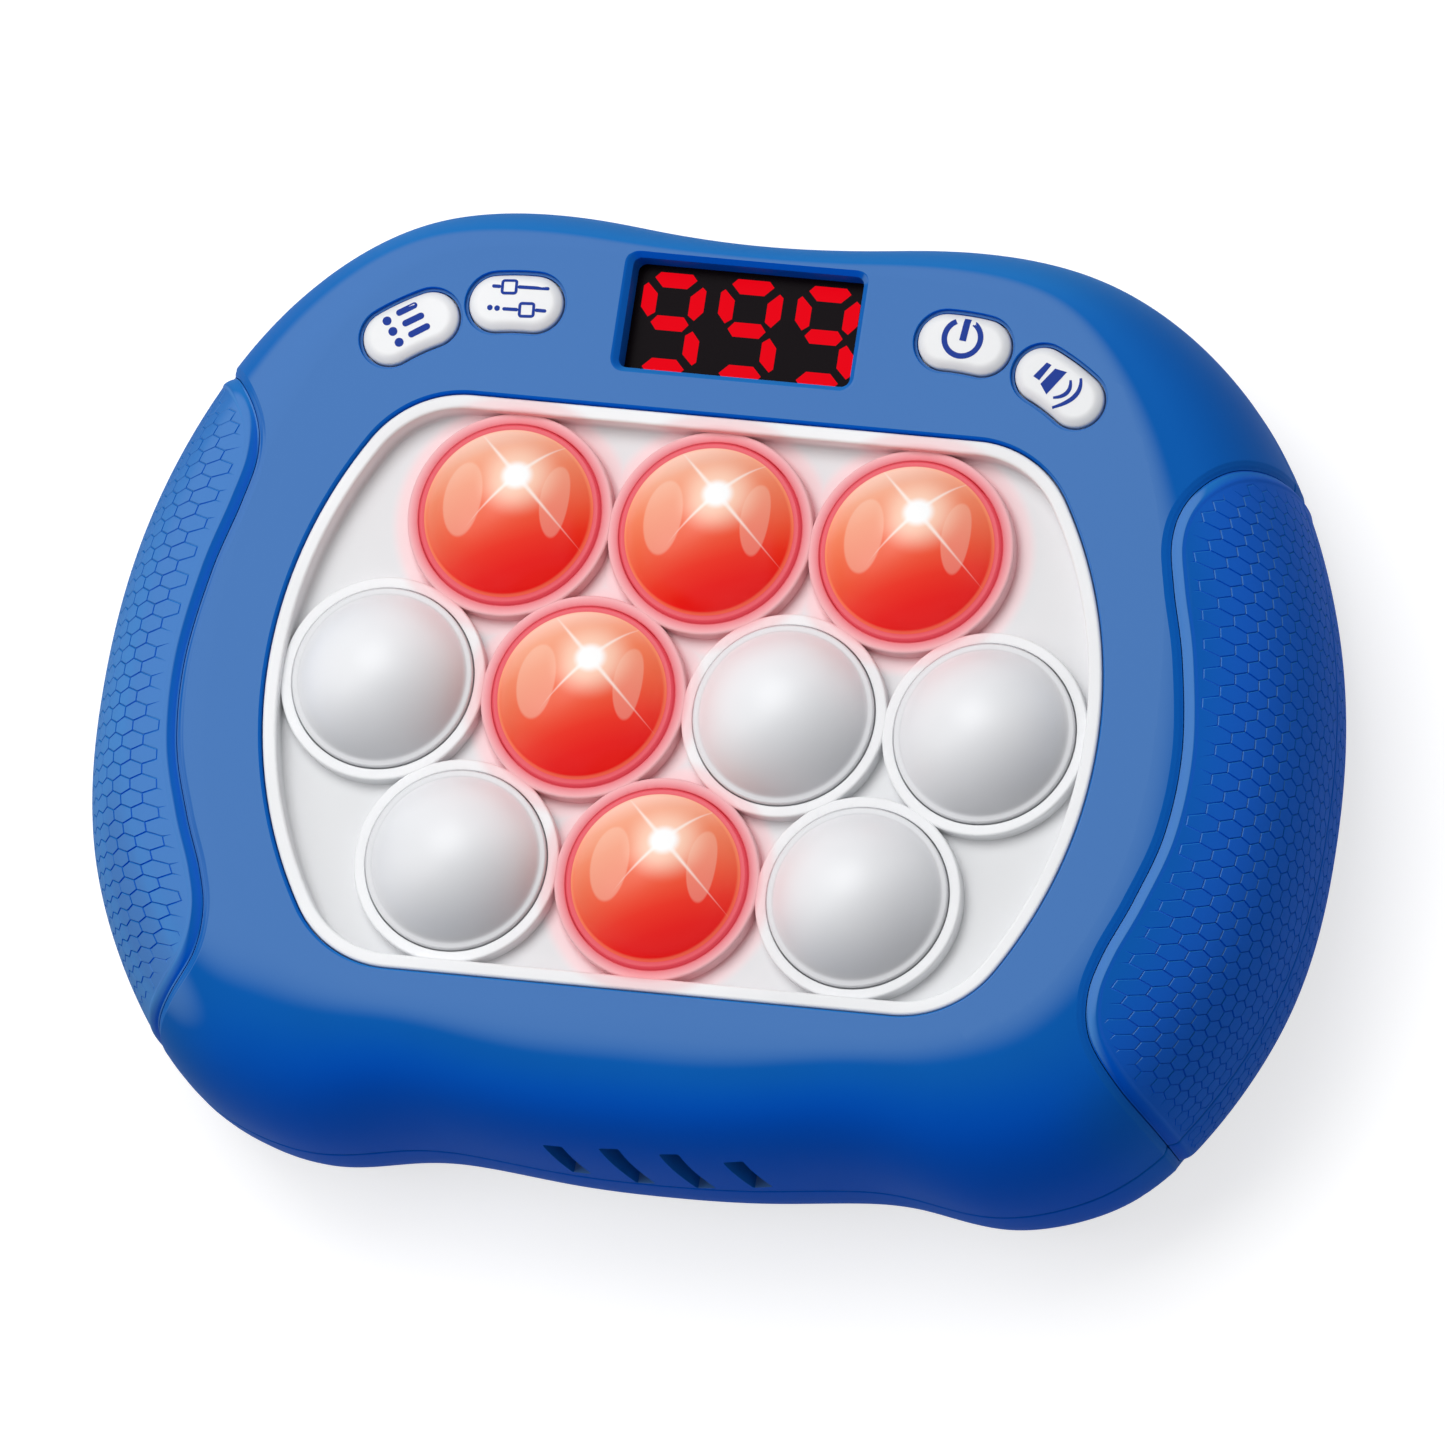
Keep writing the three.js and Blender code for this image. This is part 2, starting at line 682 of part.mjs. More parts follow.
function frontShell() {
  let shell = frontOuter.subtract(
    frontBody(innerFrame, innerCrownSteps, wall, gripThickness, wall, rearDepth - overrun));

  // Screw bosses and board pins hang from the inside of the face
  const posts = [
    ...caseBosses.map(({ x, y }) => (
      rod(x, y, caseBossRadius - fit, bossFrontBase, face, smallSegments))),
    ...boardBosses.map(({ x, y }) => (
      rod(x, y, boardBossRadius, boardTop + fit, face, smallSegments))),
  ];
  const pins = boardBosses.filter((boss) => !boss.screw).map(({ x, y }) => (
    rod(x, y, boardPinRadius, boardUnder - fit, face, smallSegments)));

  // The wall keeps clear of the board, and wall and posts of what lies under the face
  const flangeLow = trayFlangeTop - trayFlangeThickness;
  const flangeRoom = prism(trayOutline(trayFlangeWidth + fit), flangeLow - fit, faceUnder);
  shell = shell.subtract(prism(boardOutline(fit), boardUnder - fit, boardTop + fit));
  shell = shell.add(union(posts).intersect(frontCore)).subtract(displayRowRoom.add(flangeRoom));
  shell = shell.add(union(pins).intersect(frontCore));
  const holes = caseBosses.map(({ x, y }) => (
    rod(x, y, bossHoleRadius, bossFrontBase - overrun, bossFrontBase + screwBite + fit, smallSegments)));
  boardBosses.filter((boss) => boss.screw).forEach(({ x, y }) => {
    holes.push(rod(x, y, bossHoleRadius, boardTop, boardTop + fit + boardScrewBite + fit, smallSegments));
  });

  // Collar round the display recess
  const collarWidth = windowWidth + 2 * windowCollarWall;
  const collarHeightY = windowHeight + 2 * windowCollarWall;
  const collar = block(0, windowY, lensTop + fit, collarWidth, collarHeightY, faceUnder + wall / 2);
  shell = shell.add(collar.intersect(frontCore));
  const recess = roundedBox(windowWidth, windowHeight, windowCornerRadius);
  const mouth = (grow, height) => (
    roundedBox(windowWidth + 2 * grow, windowHeight + 2 * grow, windowCornerRadius + grow)
      .map((p) => new THREE.Vector3(p.x, p.y + windowY, height)));
  const chamfer = loft([
    mouth(0, face - windowChamfer),
    mouth(windowChamfer + overrun, face + overrun),
  ]);
  const recessPlaced = recess.map((p) => new THREE.Vector2(p.x, p.y + windowY));

  // Slanted sound slots through the near wall
  const slots = [];
  for (let i = 0; i < slotCount; i += 1) {
    const isEnd = i === 0 || i === slotCount - 1;
    const height = isEnd ? slotShortHeight : slotLongHeight;
    const geometry = new THREE.BoxGeometry(slotWidth, slotCutDepth, height);
    geometry.rotateY(THREE.MathUtils.degToRad(-slotLean));
    const x = slotMiddleX + (i - (slotCount - 1) / 2) * slotPitch;
    geometry.translate(x, -caseHalfHeight, rearDepth + slotAboveParting + slotLongHeight / 2);
    slots.push(solid(geometry));
  }

  const openings = [
    prism(trayOutline(fit), trayUnder, face + overrun),
    prism(recessPlaced, trayUnder, face + overrun),
    chamfer,
    ...functionButtons.map(({ shape, side }) => (
      prism(placedOutline(shape, buttonGap, side), boardTop + bootHeight, face + overrun))),
    ...slots,
    ...holes,
  ];
  const gripRecesses = gripRegions(fit, rearDepth - overrun, face + overrun)
    .map((region) => region.subtract(frontCore));
  return shell.subtract(union([...openings, ...gripRecesses]));
}

addPiece('front_shell', frontShell(), caseBlue);

// Battery bay and cover
const bayHalfLength = cellLength / 2 + bayEndRoom;
const bayHalfWidth = (cellCount * cellPitch) / 2 + fit;
const cellAxis = coverThickness + coverStandOff + cellRadius;
const bayCeiling = cellAxis + cellRadius + fit;
const bayTop = bayCeiling + bayRoof;
const coverHalfLength = bayHalfLength + bayLedge;
const coverHalfWidth = bayHalfWidth + bayLedge;
const coverEdgeY = bayY + coverHalfWidth;
const lobeY = bayY - coverHalfWidth - coverLobeReach;
const tongueLow = rearWall + fit;
const tongueHigh = tongueLow + coverTongueThickness;

function coverOutline(grow) {
  const [w, h] = [coverHalfLength + grow, coverHalfWidth + grow];
  const radius = coverLobeRadius + grow;
  const path = new THREE.Path();
  path.moveTo(w, bayY - h);
  path.lineTo(w, bayY + h);
  path.lineTo(-w, bayY + h);
  path.lineTo(-w, bayY - h);
  path.lineTo(-radius, bayY - h);
  path.absarc(0, lobeY, radius, Math.PI, 2 * Math.PI, false);
  path.lineTo(radius, bayY - h);
  const points = path.getPoints(lobeArcSteps);
  return points.filter((p, i) => i === 0 || p.distanceTo(points[i - 1]) > weld);
}

const nearEdge = caseHalfHeight * edgeShares[edgeShares.length - 1][1];
const speakerFront = nearEdge + wall + speakerWallGap;
const speakerZ = rearDepth + 2 * fit;

function speakerRod(radius, low, high, segments) {
  return rod(0, 0, radius, low, high, segments).rotate([-90, 0, 0])
    .translate([slotMiddleX, 0, speakerZ]);
}

function rearShell() {
  // The wall thickens inwards below the parting line and goes on as a lip inside the front shell
  const lipLow = rearDepth - lipHeight;
  const lipHigh = rearDepth + lipHeight;
  const insideLip = (extra) => moved(
    innerFrame, innerFrame.edge, sideways(innerFrame, wall + 2 * fit + extra, gripThickness));
  const hollow = rearBody(innerFrame, innerCrownSteps, wall, gripThickness, rearWall, lipLow, [
    atHeight(insideLip(lipThickness), lipLow + lipThickness),
    atHeight(insideLip(lipThickness), lipHigh + overrun),
  ]);
  const lip = loft([atHeight(insideLip(0), rearDepth / 2), atHeight(insideLip(0), lipHigh)]);
  let shell = rearOuter.add(lip).subtract(hollow);

  // Screw bosses with deep wells
  const bosses = caseBosses.map(({ x, y }) => (
    rod(x, y, wellRadius + bossWall / 2, 0, bossRearTop, smallSegments)));
  const wells = caseBosses.flatMap(({ x, y }) => [
    rod(x, y, wellRadius, -overrun, bossWellDepth, smallSegments),
    rod(x, y, bossHoleRadius, 0, bossRearTop + overrun, smallSegments),
  ]);

  // Battery bay: walls, roof, cover screw boss
  const [bayOuterLength, bayOuterWidth] = [bayHalfLength, bayHalfWidth].map((half) => 2 * (half + bayWall));
  const bayBox = block(0, bayY, 0, bayOuterLength, bayOuterWidth, bayTop);
  const bayInside = block(0, bayY, -overrun, 2 * bayHalfLength, 2 * bayHalfWidth, bayCeiling);
  const coverBossTop = rearWall + coverBossHeight;
  const coverBoss = rod(0, lobeY, coverBossRadius, rearWall / 2, coverBossTop, smallSegments);
  const coverBossHole = rod(
    0, lobeY, coverScrewRadius + coverScrewRoom, 0, rearWall + coverScrewReach + 2 * fit, smallSegments);
  const coverSeat = prism(coverOutline(fit), -overrun, coverThickness + fit);
  const tongueSlots = [-1, 1].map((side) => (
    block(
      side * coverTongueX,
      coverEdgeY,
      coverThickness,
      coverTongueWidth + 2 * fit,
      2 * (bayWall + bayLedge),
      tongueHigh + coverSwingRoom,
    )));

  // Slots in the bay roof for the tabs of the end contacts
  const tabSlots = [
    { side: -1, row: 0 },
    { side: 1, row: cellCount - 1 },
  ].map(({ side, row }) => (
    block(
      side * (bayHalfLength - fit - contactThickness / 2),
      cellY(row),
      cellAxis,
      contactThickness + 2 * fit,
      contactTabWidth + 2 * fit,
      bayTop + overrun,
    )));

  // Cradle that grips the lower rim of the loudspeaker
  const cradleY = speakerFront + speakerRimThickness / 2;
  const cradleTop = speakerZ - speakerRadius + cradleReach;
  const cradle = block(slotMiddleX, cradleY, rearWall / 2, cradleWidth, cradleThickness, cradleTop);
  const rimBack = speakerFront + speakerRimThickness;
  const groove = speakerRod(speakerRadius + fit, speakerFront - fit, rimBack + fit, roundSegments);
  const throat = speakerRod(
    speakerRadius - cradleGrip, speakerFront - fit, speakerFront + cradleThickness, roundSegments);

  const inside = union([...bosses, bayBox, coverBoss, cradle]);
  shell = shell.add(inside.intersect(rearOuter.add(rearCore)));
  const gripRecesses = gripRegions(fit, gripRearEdge - fit, rearDepth + overrun)
    .map((region) => region.subtract(rearCore));
  return shell.subtract(union([
    ...wells,
    bayInside,
    coverBossHole,
    coverSeat,
    ...tongueSlots,
    ...tabSlots,
    groove,
    throat,
    ...gripRecesses,
  ]));
}

function cellY(row) {
  return bayY + (row - (cellCount - 1) / 2) * cellPitch;
}

addPiece('rear_shell', rearShell(), caseBlue);

// Face panel: rim, sunken floor, flange under the face, collars and posts down to the board
function facePanel() {
  const rim = prism(trayOutline(0), trayUnder, face - trayRimDrop);
  const flange = prism(trayOutline(trayFlangeWidth), trayFlangeTop - trayFlangeThickness, trayFlangeTop);
  const well = prism(trayOutline(-trayRimWidth), trayFloor, face + overrun);
  const collars = bubbleCentres.map(({ x, y }) => (
    rod(x, y, collarRadius, trayUnder, ringPlane, roundSegments)));
  const holes = bubbleCentres.map(({ x, y }) => (
    rod(x, y, bubbleHoleRadius, trayUnder - overrun, face + overrun, roundSegments)));
  const posts = [];
  for (const x of [-bubblePitch, 0, bubblePitch]) {
    for (const up of [-1, 1]) {
      const y = trayY + (up * rowPitch) / 3;
      posts.push(rod(x, y, trayPostRadius, boardTop + fit, trayFloor, smallSegments));
    }
  }
  const inside = collars.map((collar) => collar.intersect(rim));
  const panel = rim.add(flange).subtract(displayRowRoom).subtract(well);
  return panel.add(union([...inside, ...posts])).subtract(union(holes));
}

addPiece('face_panel', facePanel(), trayWhite);

// Bubble: dome on a skirt with a flange under the tray and a plunger in the middle
function bubble() {
  const skirt = bubbleHoleRadius - fit;
  const inside = skirt - bubbleWall;
  const domeTop = bubbleShoulderTop + bubbleDomeHeight;
  const sphere = (bubbleDomeRadius ** 2 + bubbleDomeHeight ** 2) / (2 * bubbleDomeHeight);
  const spread = Math.asin(bubbleDomeRadius / sphere);
  const onDome = (share, inwards) => [
    (sphere - inwards) * Math.sin(spread * share),
    domeTop - sphere + (sphere - inwards) * Math.cos(spread * share),
  ];
  const plungerTop = onDome(0, bubbleWall)[1] - bubbleWall / 2;
  return turned([
    [0, bubbleFoot],
    [bubblePlungerRadius, bubbleFoot],
    [bubblePlungerRadius, plungerTop],
    [inside, bubbleShoulderTop - bubbleWall],
    [inside, bubbleFoot],
    [bubbleFlangeRadius, bubbleFoot],
    [bubbleFlangeRadius, bubbleFlangeTop],
    [skirt, bubbleFlangeTop],
    [skirt, bubbleShoulderTop],
    ...bubbleDomeShares.map((share) => onDome(share, 0)),
    [0, domeTop],
  ], roundSegments);
}

// Hollow rubber boot between the board and a plunger
function boot(radius, topRadius) {
  return turned([
    [0, bootTop - bootWall],
    [topRadius - bootWall, bootTop - bootWall],
    [radius - bootWall, bootBase],
    [radius, bootBase],
    [topRadius, bootTop],
    [0, bootTop],
  ], bootSegments);
}

const bubbleSolid = bubble();
const bootSolid = boot(bootRadius, bootTopRadius);
bubbleCentres.forEach(({ x, y }, i) => {
  const lit = litBubbles.includes(i + 1);
  addPiece(`bubble_${i + 1}`, bubbleSolid, lit ? bubbleRed : bubbleWhite, x, y);
  addPiece(`bubble_boot_${i + 1}`, bootSolid, bootGrey, x, y);
});

// Function buttons: bevelled caps on a flange and a stem, each over its own boot
const smallBoot = boot(smallBootRadius, smallBootTopRadius);
functionButtons.forEach(({ name, shape, side }) => {
  const top = face + buttonProud;
  const flangeTop = buttonFlangeLow + buttonFlangeThickness;
  const ring = (grow, height) => (
    placedOutline(shape, grow, side).map((p) => new THREE.Vector3(p.x, p.y, height)));
  const cap = loft([
    ring(buttonFlangeWidth, buttonFlangeLow),
    ring(buttonFlangeWidth, flangeTop),
    ring(0, flangeTop),
    ring(0, top - buttonBevel),
    ring(-buttonBevel, top),
  ]);
  const x = side * shape.x;
  const stem = rod(x, shape.y, buttonStemRadius, bubbleFoot, flangeTop, smallSegments);
  addPiece(`${name}_button`, cap.add(stem), buttonWhite);
  addPiece(`${name}_boot`, smallBoot, bootGrey, x, shape.y);
});

// Display window and the three-digit module behind it
addPiece('display_window', block(0, windowY, lensUnder, lensWidth, lensHeight, lensTop), lensBlack);
addPiece('display_module', block(
  0,
  windowY,
  boardTop + fit,
  windowWidth - 2 * moduleInset,
  windowHeight + 2 * moduleInset,
  lensUnder - fit,
), moduleBlack);

// Main board with its light sources, its controller and the holes for screws and pins
function mainBoard() {
  const middle = boardUnder + boardThickness / 2;
  const lights = bubbleCentres.map(({ x, y }) => (
    block(x - ledFromCentre, y, middle, ledSize, ledSize, boardTop + ledHeight)));
  const chipY = cellY(cellCount - 1) + chipPastCell;
  const chip = block(bubblePitch, chipY, boardUnder - chipHeight, chipSize, chipSize, middle);
  const holes = boardBosses.map(({ x, y, screw }) => {
    const radius = (screw ? screwRadius : boardPinRadius) + fit;
    return rod(x, y, radius, boardUnder - overrun, boardTop + overrun, smallSegments);
  });
  const notches = caseBosses.map(({ x, y }) => (
    rod(x, y, caseBossRadius, boardUnder - overrun, boardTop + overrun, smallSegments)));
  const board = prism(boardOutline(0), boardUnder, boardTop).add(union([...lights, chip]));
  return board.subtract(union([...holes, ...notches]));
}

addPiece('main_board', mainBoard(), boardGreen);

// Loudspeaker facing the slots
const speakerBack = speakerFront + speakerRimThickness + speakerBasketDepth + speakerMagnetDepth;
const speakerSolid = turned([
  [0, 0],
  [speakerRadius, 0],
  [speakerRadius, speakerRimThickness],
  [speakerBasketRadius, speakerRimThickness],
  [speakerBasketRadius, speakerRimThickness + speakerBasketDepth],
  [speakerMagnetRadius, speakerRimThickness + speakerBasketDepth],
  [speakerMagnetRadius, speakerBack - speakerFront],
  [0, speakerBack - speakerFront],
], roundSegments).rotate([-90, 0, 0]).translate([slotMiddleX, speakerFront, speakerZ]);
addPiece('speaker', speakerSolid, speakerBlack);

// Battery cover with two tongues on the display side and a screw lobe on the other
function batteryCover() {
  const plate = prism(coverOutline(0), 0, coverThickness);
  const tongues = [-1, 1].flatMap((side) => [
    block(
      side * coverTongueX,
      coverEdgeY - coverTongueRoot / 2,
      coverThickness / 2,
      coverTongueWidth,
      coverTongueRoot,
      tongueHigh,
    ),
    block(
      side * coverTongueX,
      coverEdgeY + (coverTongueReach - coverTongueRoot) / 2,
      tongueLow,
      coverTongueWidth,
      coverTongueRoot + coverTongueReach,
      tongueHigh,
    ),
  ]);
  const hole = rod(0, lobeY, coverScrewRadius + fit, -overrun, coverThickness + overrun, smallSegments);
  const counterbore = rod(0, lobeY, wellRadius, -overrun, coverScrewHeadHeight + 2 * fit, smallSegments);
  return plate.add(union(tongues)).subtract(hole.add(counterbore));
}

addPiece('battery_cover', batteryCover(), caseBlue);
addPiece('battery_cover_screw', turned([
  [0, fit],
  [screwHeadRadius, fit],
  [screwHeadRadius, fit + coverScrewHeadHeight],
  [coverScrewRadius, fit + coverScrewHeadHeight],
  [coverScrewRadius, rearWall + coverScrewReach],
  [0, rearWall + coverScrewReach],
], smallSegments), plated, 0, lobeY);

// Cells lie along X in the bay, side by side; each faces the way its contacts need
const plateFace = bayHalfLength - fit - contactThickness;
const cellShift = plateFace - nubContactHeight - fit - cellLength / 2;
const springLength = plateFace - (cellLength / 2 - cellShift) - fit;
const cellFacing = (row) => (row % 2 === 0 ? 1 : -1);
const cellSolid = turned([
  [0, 0],
  [cellRadius, 0],
  [cellRadius, cellLength - cellNubHeight],
  [cellNubRadius, cellLength - cellNubHeight],
  [cellNubRadius, cellLength],
  [0, cellLength],
], cellSegments).translate([0, 0, -cellLength / 2]).rotate([0, 90, 0]).translate([cellShift, 0, 0]);
for (let row = 0; row < cellCount; row += 1) {
  const placed = cellSolid.rotate([0, 0, cellFacing(row) > 0 ? 0 : 180]);
  addPiece(`battery_${row + 1}`, placed.translate([0, cellY(row), cellAxis]), cellSleeve);
}

// Conical contact spring along X, one unbroken wire from the plate to the cell
function contactSpring(side, row) {
  const steps = Math.round(springTurns * springStepsPerTurn);
  const rings = [];
  for (let i = 0; i <= steps; i += 1) {
    const share = i / steps;
    const angle = share * springTurns * 2 * Math.PI;
    const radius = THREE.MathUtils.lerp(springRadius, springTipRadius, share);
    const start = plateFace + contactThickness - springWire;
    const reach = THREE.MathUtils.lerp(start, plateFace - springLength + springWire, share);
    const ring = [];
    for (let k = 0; k < springSides; k += 1) {
      const round = (-side * k * 2 * Math.PI) / springSides;
      const out = radius + springWire * Math.cos(round);
      ring.push(new THREE.Vector3(
        side * (reach + springWire * Math.sin(round)),
        cellY(row) + out * Math.cos(angle),
        cellAxis + out * Math.sin(angle),
      ));
    }
    rings.push(ring);
  }
  return sweep(rings);
}

// Contact plate against an end wall of the bay, with a nub or a spring for each cell it serves
function contact(side, rows, hasTab) {
  const middle = (cellY(rows[0]) + cellY(rows[rows.length - 1])) / 2;
  const width = (rows.length - 1) * cellPitch + contactWidth;
  const plateX = side * (plateFace + contactThickness / 2);
  const [low, high] = [cellAxis - contactHeight / 2, cellAxis + contactHeight / 2];
  const pieces = [block(plateX, middle, low, contactThickness, width, high)];
  rows.forEach((row) => {
    if (cellFacing(row) === side) {
      const nub = rod(0, 0, nubContactRadius, 0, nubContactHeight + contactThickness / 2, smallSegments);
      const inwards = nub.rotate([0, -side * 90, 0]);
      pieces.push(inwards.translate([plateX, cellY(row), cellAxis]));
    } else {
      pieces.push(contactSpring(side, row));
    }
  });
  if (hasTab) {
    const tabTop = bayTop + contactTabRise;
    pieces.push(block(plateX, middle, cellAxis, contactThickness, contactTabWidth, tabTop));
  }
  return union(pieces);
}

const lastRow = cellCount - 1;
addPiece('battery_contact_negative', contact(-1, [0], true), plated);
addPiece('battery_contact_positive', contact(1, [lastRow], true), plated);
for (let row = 0; row < lastRow; row += 1) {
  addPiece(`battery_jumper_${row + 1}`, contact(cellFacing(row), [row, row + 1], false), plated);
}

// Leads: round wire along a smooth curve, square to what it meets at both ends
function lead(places) {
  const section = new THREE.Shape();
  for (let i = 0; i < leadSides; i += 1) {
    const angle = (i * 2 * Math.PI) / leadSides;
    const corner = new THREE.Vector2(leadRadius * Math.cos(angle), leadRadius * Math.sin(angle));
    if (i === 0) section.moveTo(corner.x, corner.y);
    else section.lineTo(corner.x, corner.y);
  }
  const path = new THREE.CatmullRomCurve3(places.map((place) => new THREE.Vector3(...place)));
  return solid(new THREE.ExtrudeGeometry(section, { steps: leadSteps, extrudePath: path }));
}

function batteryLead(side, row) {
  const [x, y] = [side * (plateFace + contactThickness / 2), cellY(row)];
  const [low, high] = [bayTop + contactTabRise + fit, boardUnder - fit];
  const far = x + side * batteryLeadDrift;
  return lead([
    [x, y, low],
    [x, y, low + leadStraight],
    [far, y, high - leadStraight],
    [far, y, high],
  ]);
}

addPiece('battery_lead_negative', batteryLead(-1, 0), leadBlack);
addPiece('battery_lead_positive', batteryLead(1, lastRow), leadRed);

const speakerLeadStart = speakerFront + speakerRimThickness + speakerBasketDepth + fit;
const speakerLeadZ = speakerZ + (speakerBasketRadius + speakerMagnetRadius) / 2;
const speakerLeadEnd = trayBottom + boardMargin + leadStraight;
addPiece('speaker_lead', lead([
  [slotMiddleX, speakerLeadStart, speakerLeadZ],
  [slotMiddleX, speakerLeadStart + speakerLeadStraight, speakerLeadZ],
  [slotMiddleX, speakerLeadEnd, boardUnder - fit - speakerLeadStraight],
  [slotMiddleX, speakerLeadEnd, boardUnder - fit],
]), leadBlack);

// Screws, pointing up from the back
function screw(headTop, tip) {
  return turned([
    [0, headTop - screwHeadHeight],
    [screwHeadRadius, headTop - screwHeadHeight],
    [screwHeadRadius, headTop],
    [screwRadius, headTop],
    [screwRadius, tip],
    [0, tip],
  ], smallSegments);
}

caseBosses.forEach(({ x, y }, i) => {
  addPiece(`case_screw_${i + 1}`, screw(bossWellDepth - fit, bossFrontBase + screwBite), plated, x, y);
});
boardBosses.filter((boss) => boss.screw).forEach(({ x, y }, i) => {
  addPiece(`board_screw_${i + 1}`, screw(boardUnder - fit, boardTop + fit + boardScrewBite), plated, x, y);
});

export default game;
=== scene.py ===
"""Electronic bubble pop game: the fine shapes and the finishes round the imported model.

Shapes are worked out in millimetres and written to the meshes in metres.
"""
import math

import bmesh
import bpy
import numpy as np
from mathutils import Matrix, Vector
from mathutils.geometry import delaunay_2d_cdt
from mathutils.kdtree import KDTree


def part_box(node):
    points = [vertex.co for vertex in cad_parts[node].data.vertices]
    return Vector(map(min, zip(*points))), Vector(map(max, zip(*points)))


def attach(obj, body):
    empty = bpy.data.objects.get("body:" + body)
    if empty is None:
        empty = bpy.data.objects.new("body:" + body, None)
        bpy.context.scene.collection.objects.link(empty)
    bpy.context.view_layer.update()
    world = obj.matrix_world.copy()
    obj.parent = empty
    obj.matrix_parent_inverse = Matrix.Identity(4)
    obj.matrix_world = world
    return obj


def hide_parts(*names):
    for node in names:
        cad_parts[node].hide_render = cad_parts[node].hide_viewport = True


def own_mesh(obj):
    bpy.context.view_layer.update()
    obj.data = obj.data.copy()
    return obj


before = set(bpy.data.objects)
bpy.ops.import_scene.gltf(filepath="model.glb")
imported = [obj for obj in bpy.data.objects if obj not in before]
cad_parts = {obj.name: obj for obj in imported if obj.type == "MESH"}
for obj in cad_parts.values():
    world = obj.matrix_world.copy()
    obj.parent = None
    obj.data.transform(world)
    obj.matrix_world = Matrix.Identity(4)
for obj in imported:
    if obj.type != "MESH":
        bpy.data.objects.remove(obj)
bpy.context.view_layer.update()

MM = 0.001
QUARTER = math.pi / 2
OVERRUN = 1
NOTHING = 1e-9

# Case, as in the part's source
CASE_HALF_WIDTH = 87.9
CASE_HALF_HEIGHT = 67.65
FACE = 46
FRONT_BASE = 19.15
REAR_TOP = 18.85
REAR_ROLL = 10
REAR_POWER = 2.5
WALL = 2.4
REAR_WALL = 2.2
FIT = 0.3
GRIP_THICKNESS = 1.8
GRIP_REAR_EDGE = 4.8
LIP_HEIGHT = 1.6
LIP_THICKNESS = 1.1
LIP_FOOT = 1
EDGE_SHARES = [
    (0, 0.966), (0.171, 0.98), (0.33, 1), (0.546, 0.967),
    (0.743, 0.812), (0.882, 0.566), (0.973, 0.236), (1, -0.117),
    (0.962, -0.489), (0.827, -0.818), (0.69, -0.958), (0.563, -1),
    (0.456, -0.986), (0.341, -0.972), (0.171, -0.992), (0, -1),
]
FACE_SHARES = [
    (0, 0.866), (0.171, 0.867), (0.33, 0.869), (0.5, 0.829),
    (0.614, 0.696), (0.694, 0.489), (0.739, 0.223), (0.751, -0.102),
    (0.717, -0.369), (0.643, -0.575), (0.563, -0.672), (0.478, -0.719),
    (0.398, -0.735), (0.307, -0.738), (0.159, -0.738), (0, -0.738),
]
SHOULDER_POWERS = [2.2] * 5 + [2.3, 2.5, 2.65, 2.8, 2.7, 2.5, 2.4, 2.5, 2.8, 3.2, 3.2]
GRIP_SEAM_SHARES = [
    (0.885, 0.607), (0.819, 0.548), (0.768, 0.459), (0.753, 0.371),
    (0.768, 0.267), (0.799, 0.119), (0.821, -0.073), (0.813, -0.25),
    (0.779, -0.398), (0.743, -0.516), (0.728, -0.605), (0.739, -0.694),
    (0.785, -0.775), (0.836, -0.833),
]

# Seam between case and grip, from the surface to the gap, as (distance from the seam, depth)
SEAM_HALF_GAP = 0.07
SEAM_CASE = [
    (1.35, 0), (1.15, 0.06), (0.98, 0.18), (0.76, 0.24), (0.52, 0.36), (0.28, 0.56), (0.07, 0.62),
]
SEAM_GRIP = [
    (2.2, 0), (2.0, -0.02), (1.85, -0.09), (1.65, -0.12), (1.4, -0.08), (1.1, 0.04),
    (0.76, 0.2), (0.52, 0.36), (0.28, 0.56), (0.07, 0.62),
]
PARTING_ROUND = 0.3
REAR_CORNER = 4
SEAM_RUN_ON = 8
SEAM_STEPS = 24
LEAST_SLOPE = 0.3

# Honeycomb moulded into the grips: cells set out up the ribs and along the outline
CELL_WIDTH = 3
CELL_ROW = 2.12
CELL_STRETCH_FROM = 20.5
CELL_STRETCH = 0.0186
CELL_PHASE_Y = 17.1
GROOVE_HALF = 0.13
GROOVE_DEPTH = 0.2
CELL_MARGIN = 2.45
CELL_FOOT = 0.7
CELL_LEAST = 0.45
CELL_FADE = 5
SHORTEST_END = 0.3
LATTICE_ROWS = range(-20, 45)
GROOVE_SHARP = 20

# Tray, collars and bubbles
TRAY_HALF_WIDTH = 59.8
TRAY_HALF_HEIGHT = 41.415
TRAY_Y = -4.895
TRAY_SIDE_RADIUS = 64.1
TRAY_CORNER_RADIUS = 16
TRAY_RIM_WIDTH = 2
TRAY_RIM_GROWN = 0.14
TRAY_RIM_TOP = 45.8
TRAY_FLOOR = 42
TRAY_UNDER = 40
TRAY_FLANGE_WIDTH = 3
TRAY_FLANGE_TOP = 43.3
TRAY_FLANGE_LOW = 41.3
TRAY_EDGE_ROUND = 0.45
TRAY_MOUTH_ROUND = 0.55
RING_PLANE = 44.5
COLLAR_RADIUS = 14.7
COLLAR_ROUND = 0.35
COLLAR_ROOT = 0.5
HOLE_RADIUS = 13.1
HOLE_ROUND = 0.2
BUBBLE_ROWS = (3, 4, 3)
BUBBLE_PITCH = 29
ROW_PITCH = 25.115
DOME_RADIUS = 12
DOME_HEIGHT = 7
DOME_FOOT = 0.35
BUBBLE_SHOULDER = 45.1
BUBBLE_RING_ROUND = 0.3
BUBBLE_SKIRT_GAP = 0.15
BUBBLE_WALL = 1.2
BUBBLE_FLANGE_RADIUS = 14.15
BUBBLE_FLANGE_TOP = 39.7
BUBBLE_FOOT = 38.5
PLUNGER_RADIUS = 2
LIT_BUBBLES = (1, 2, 3, 5, 9)

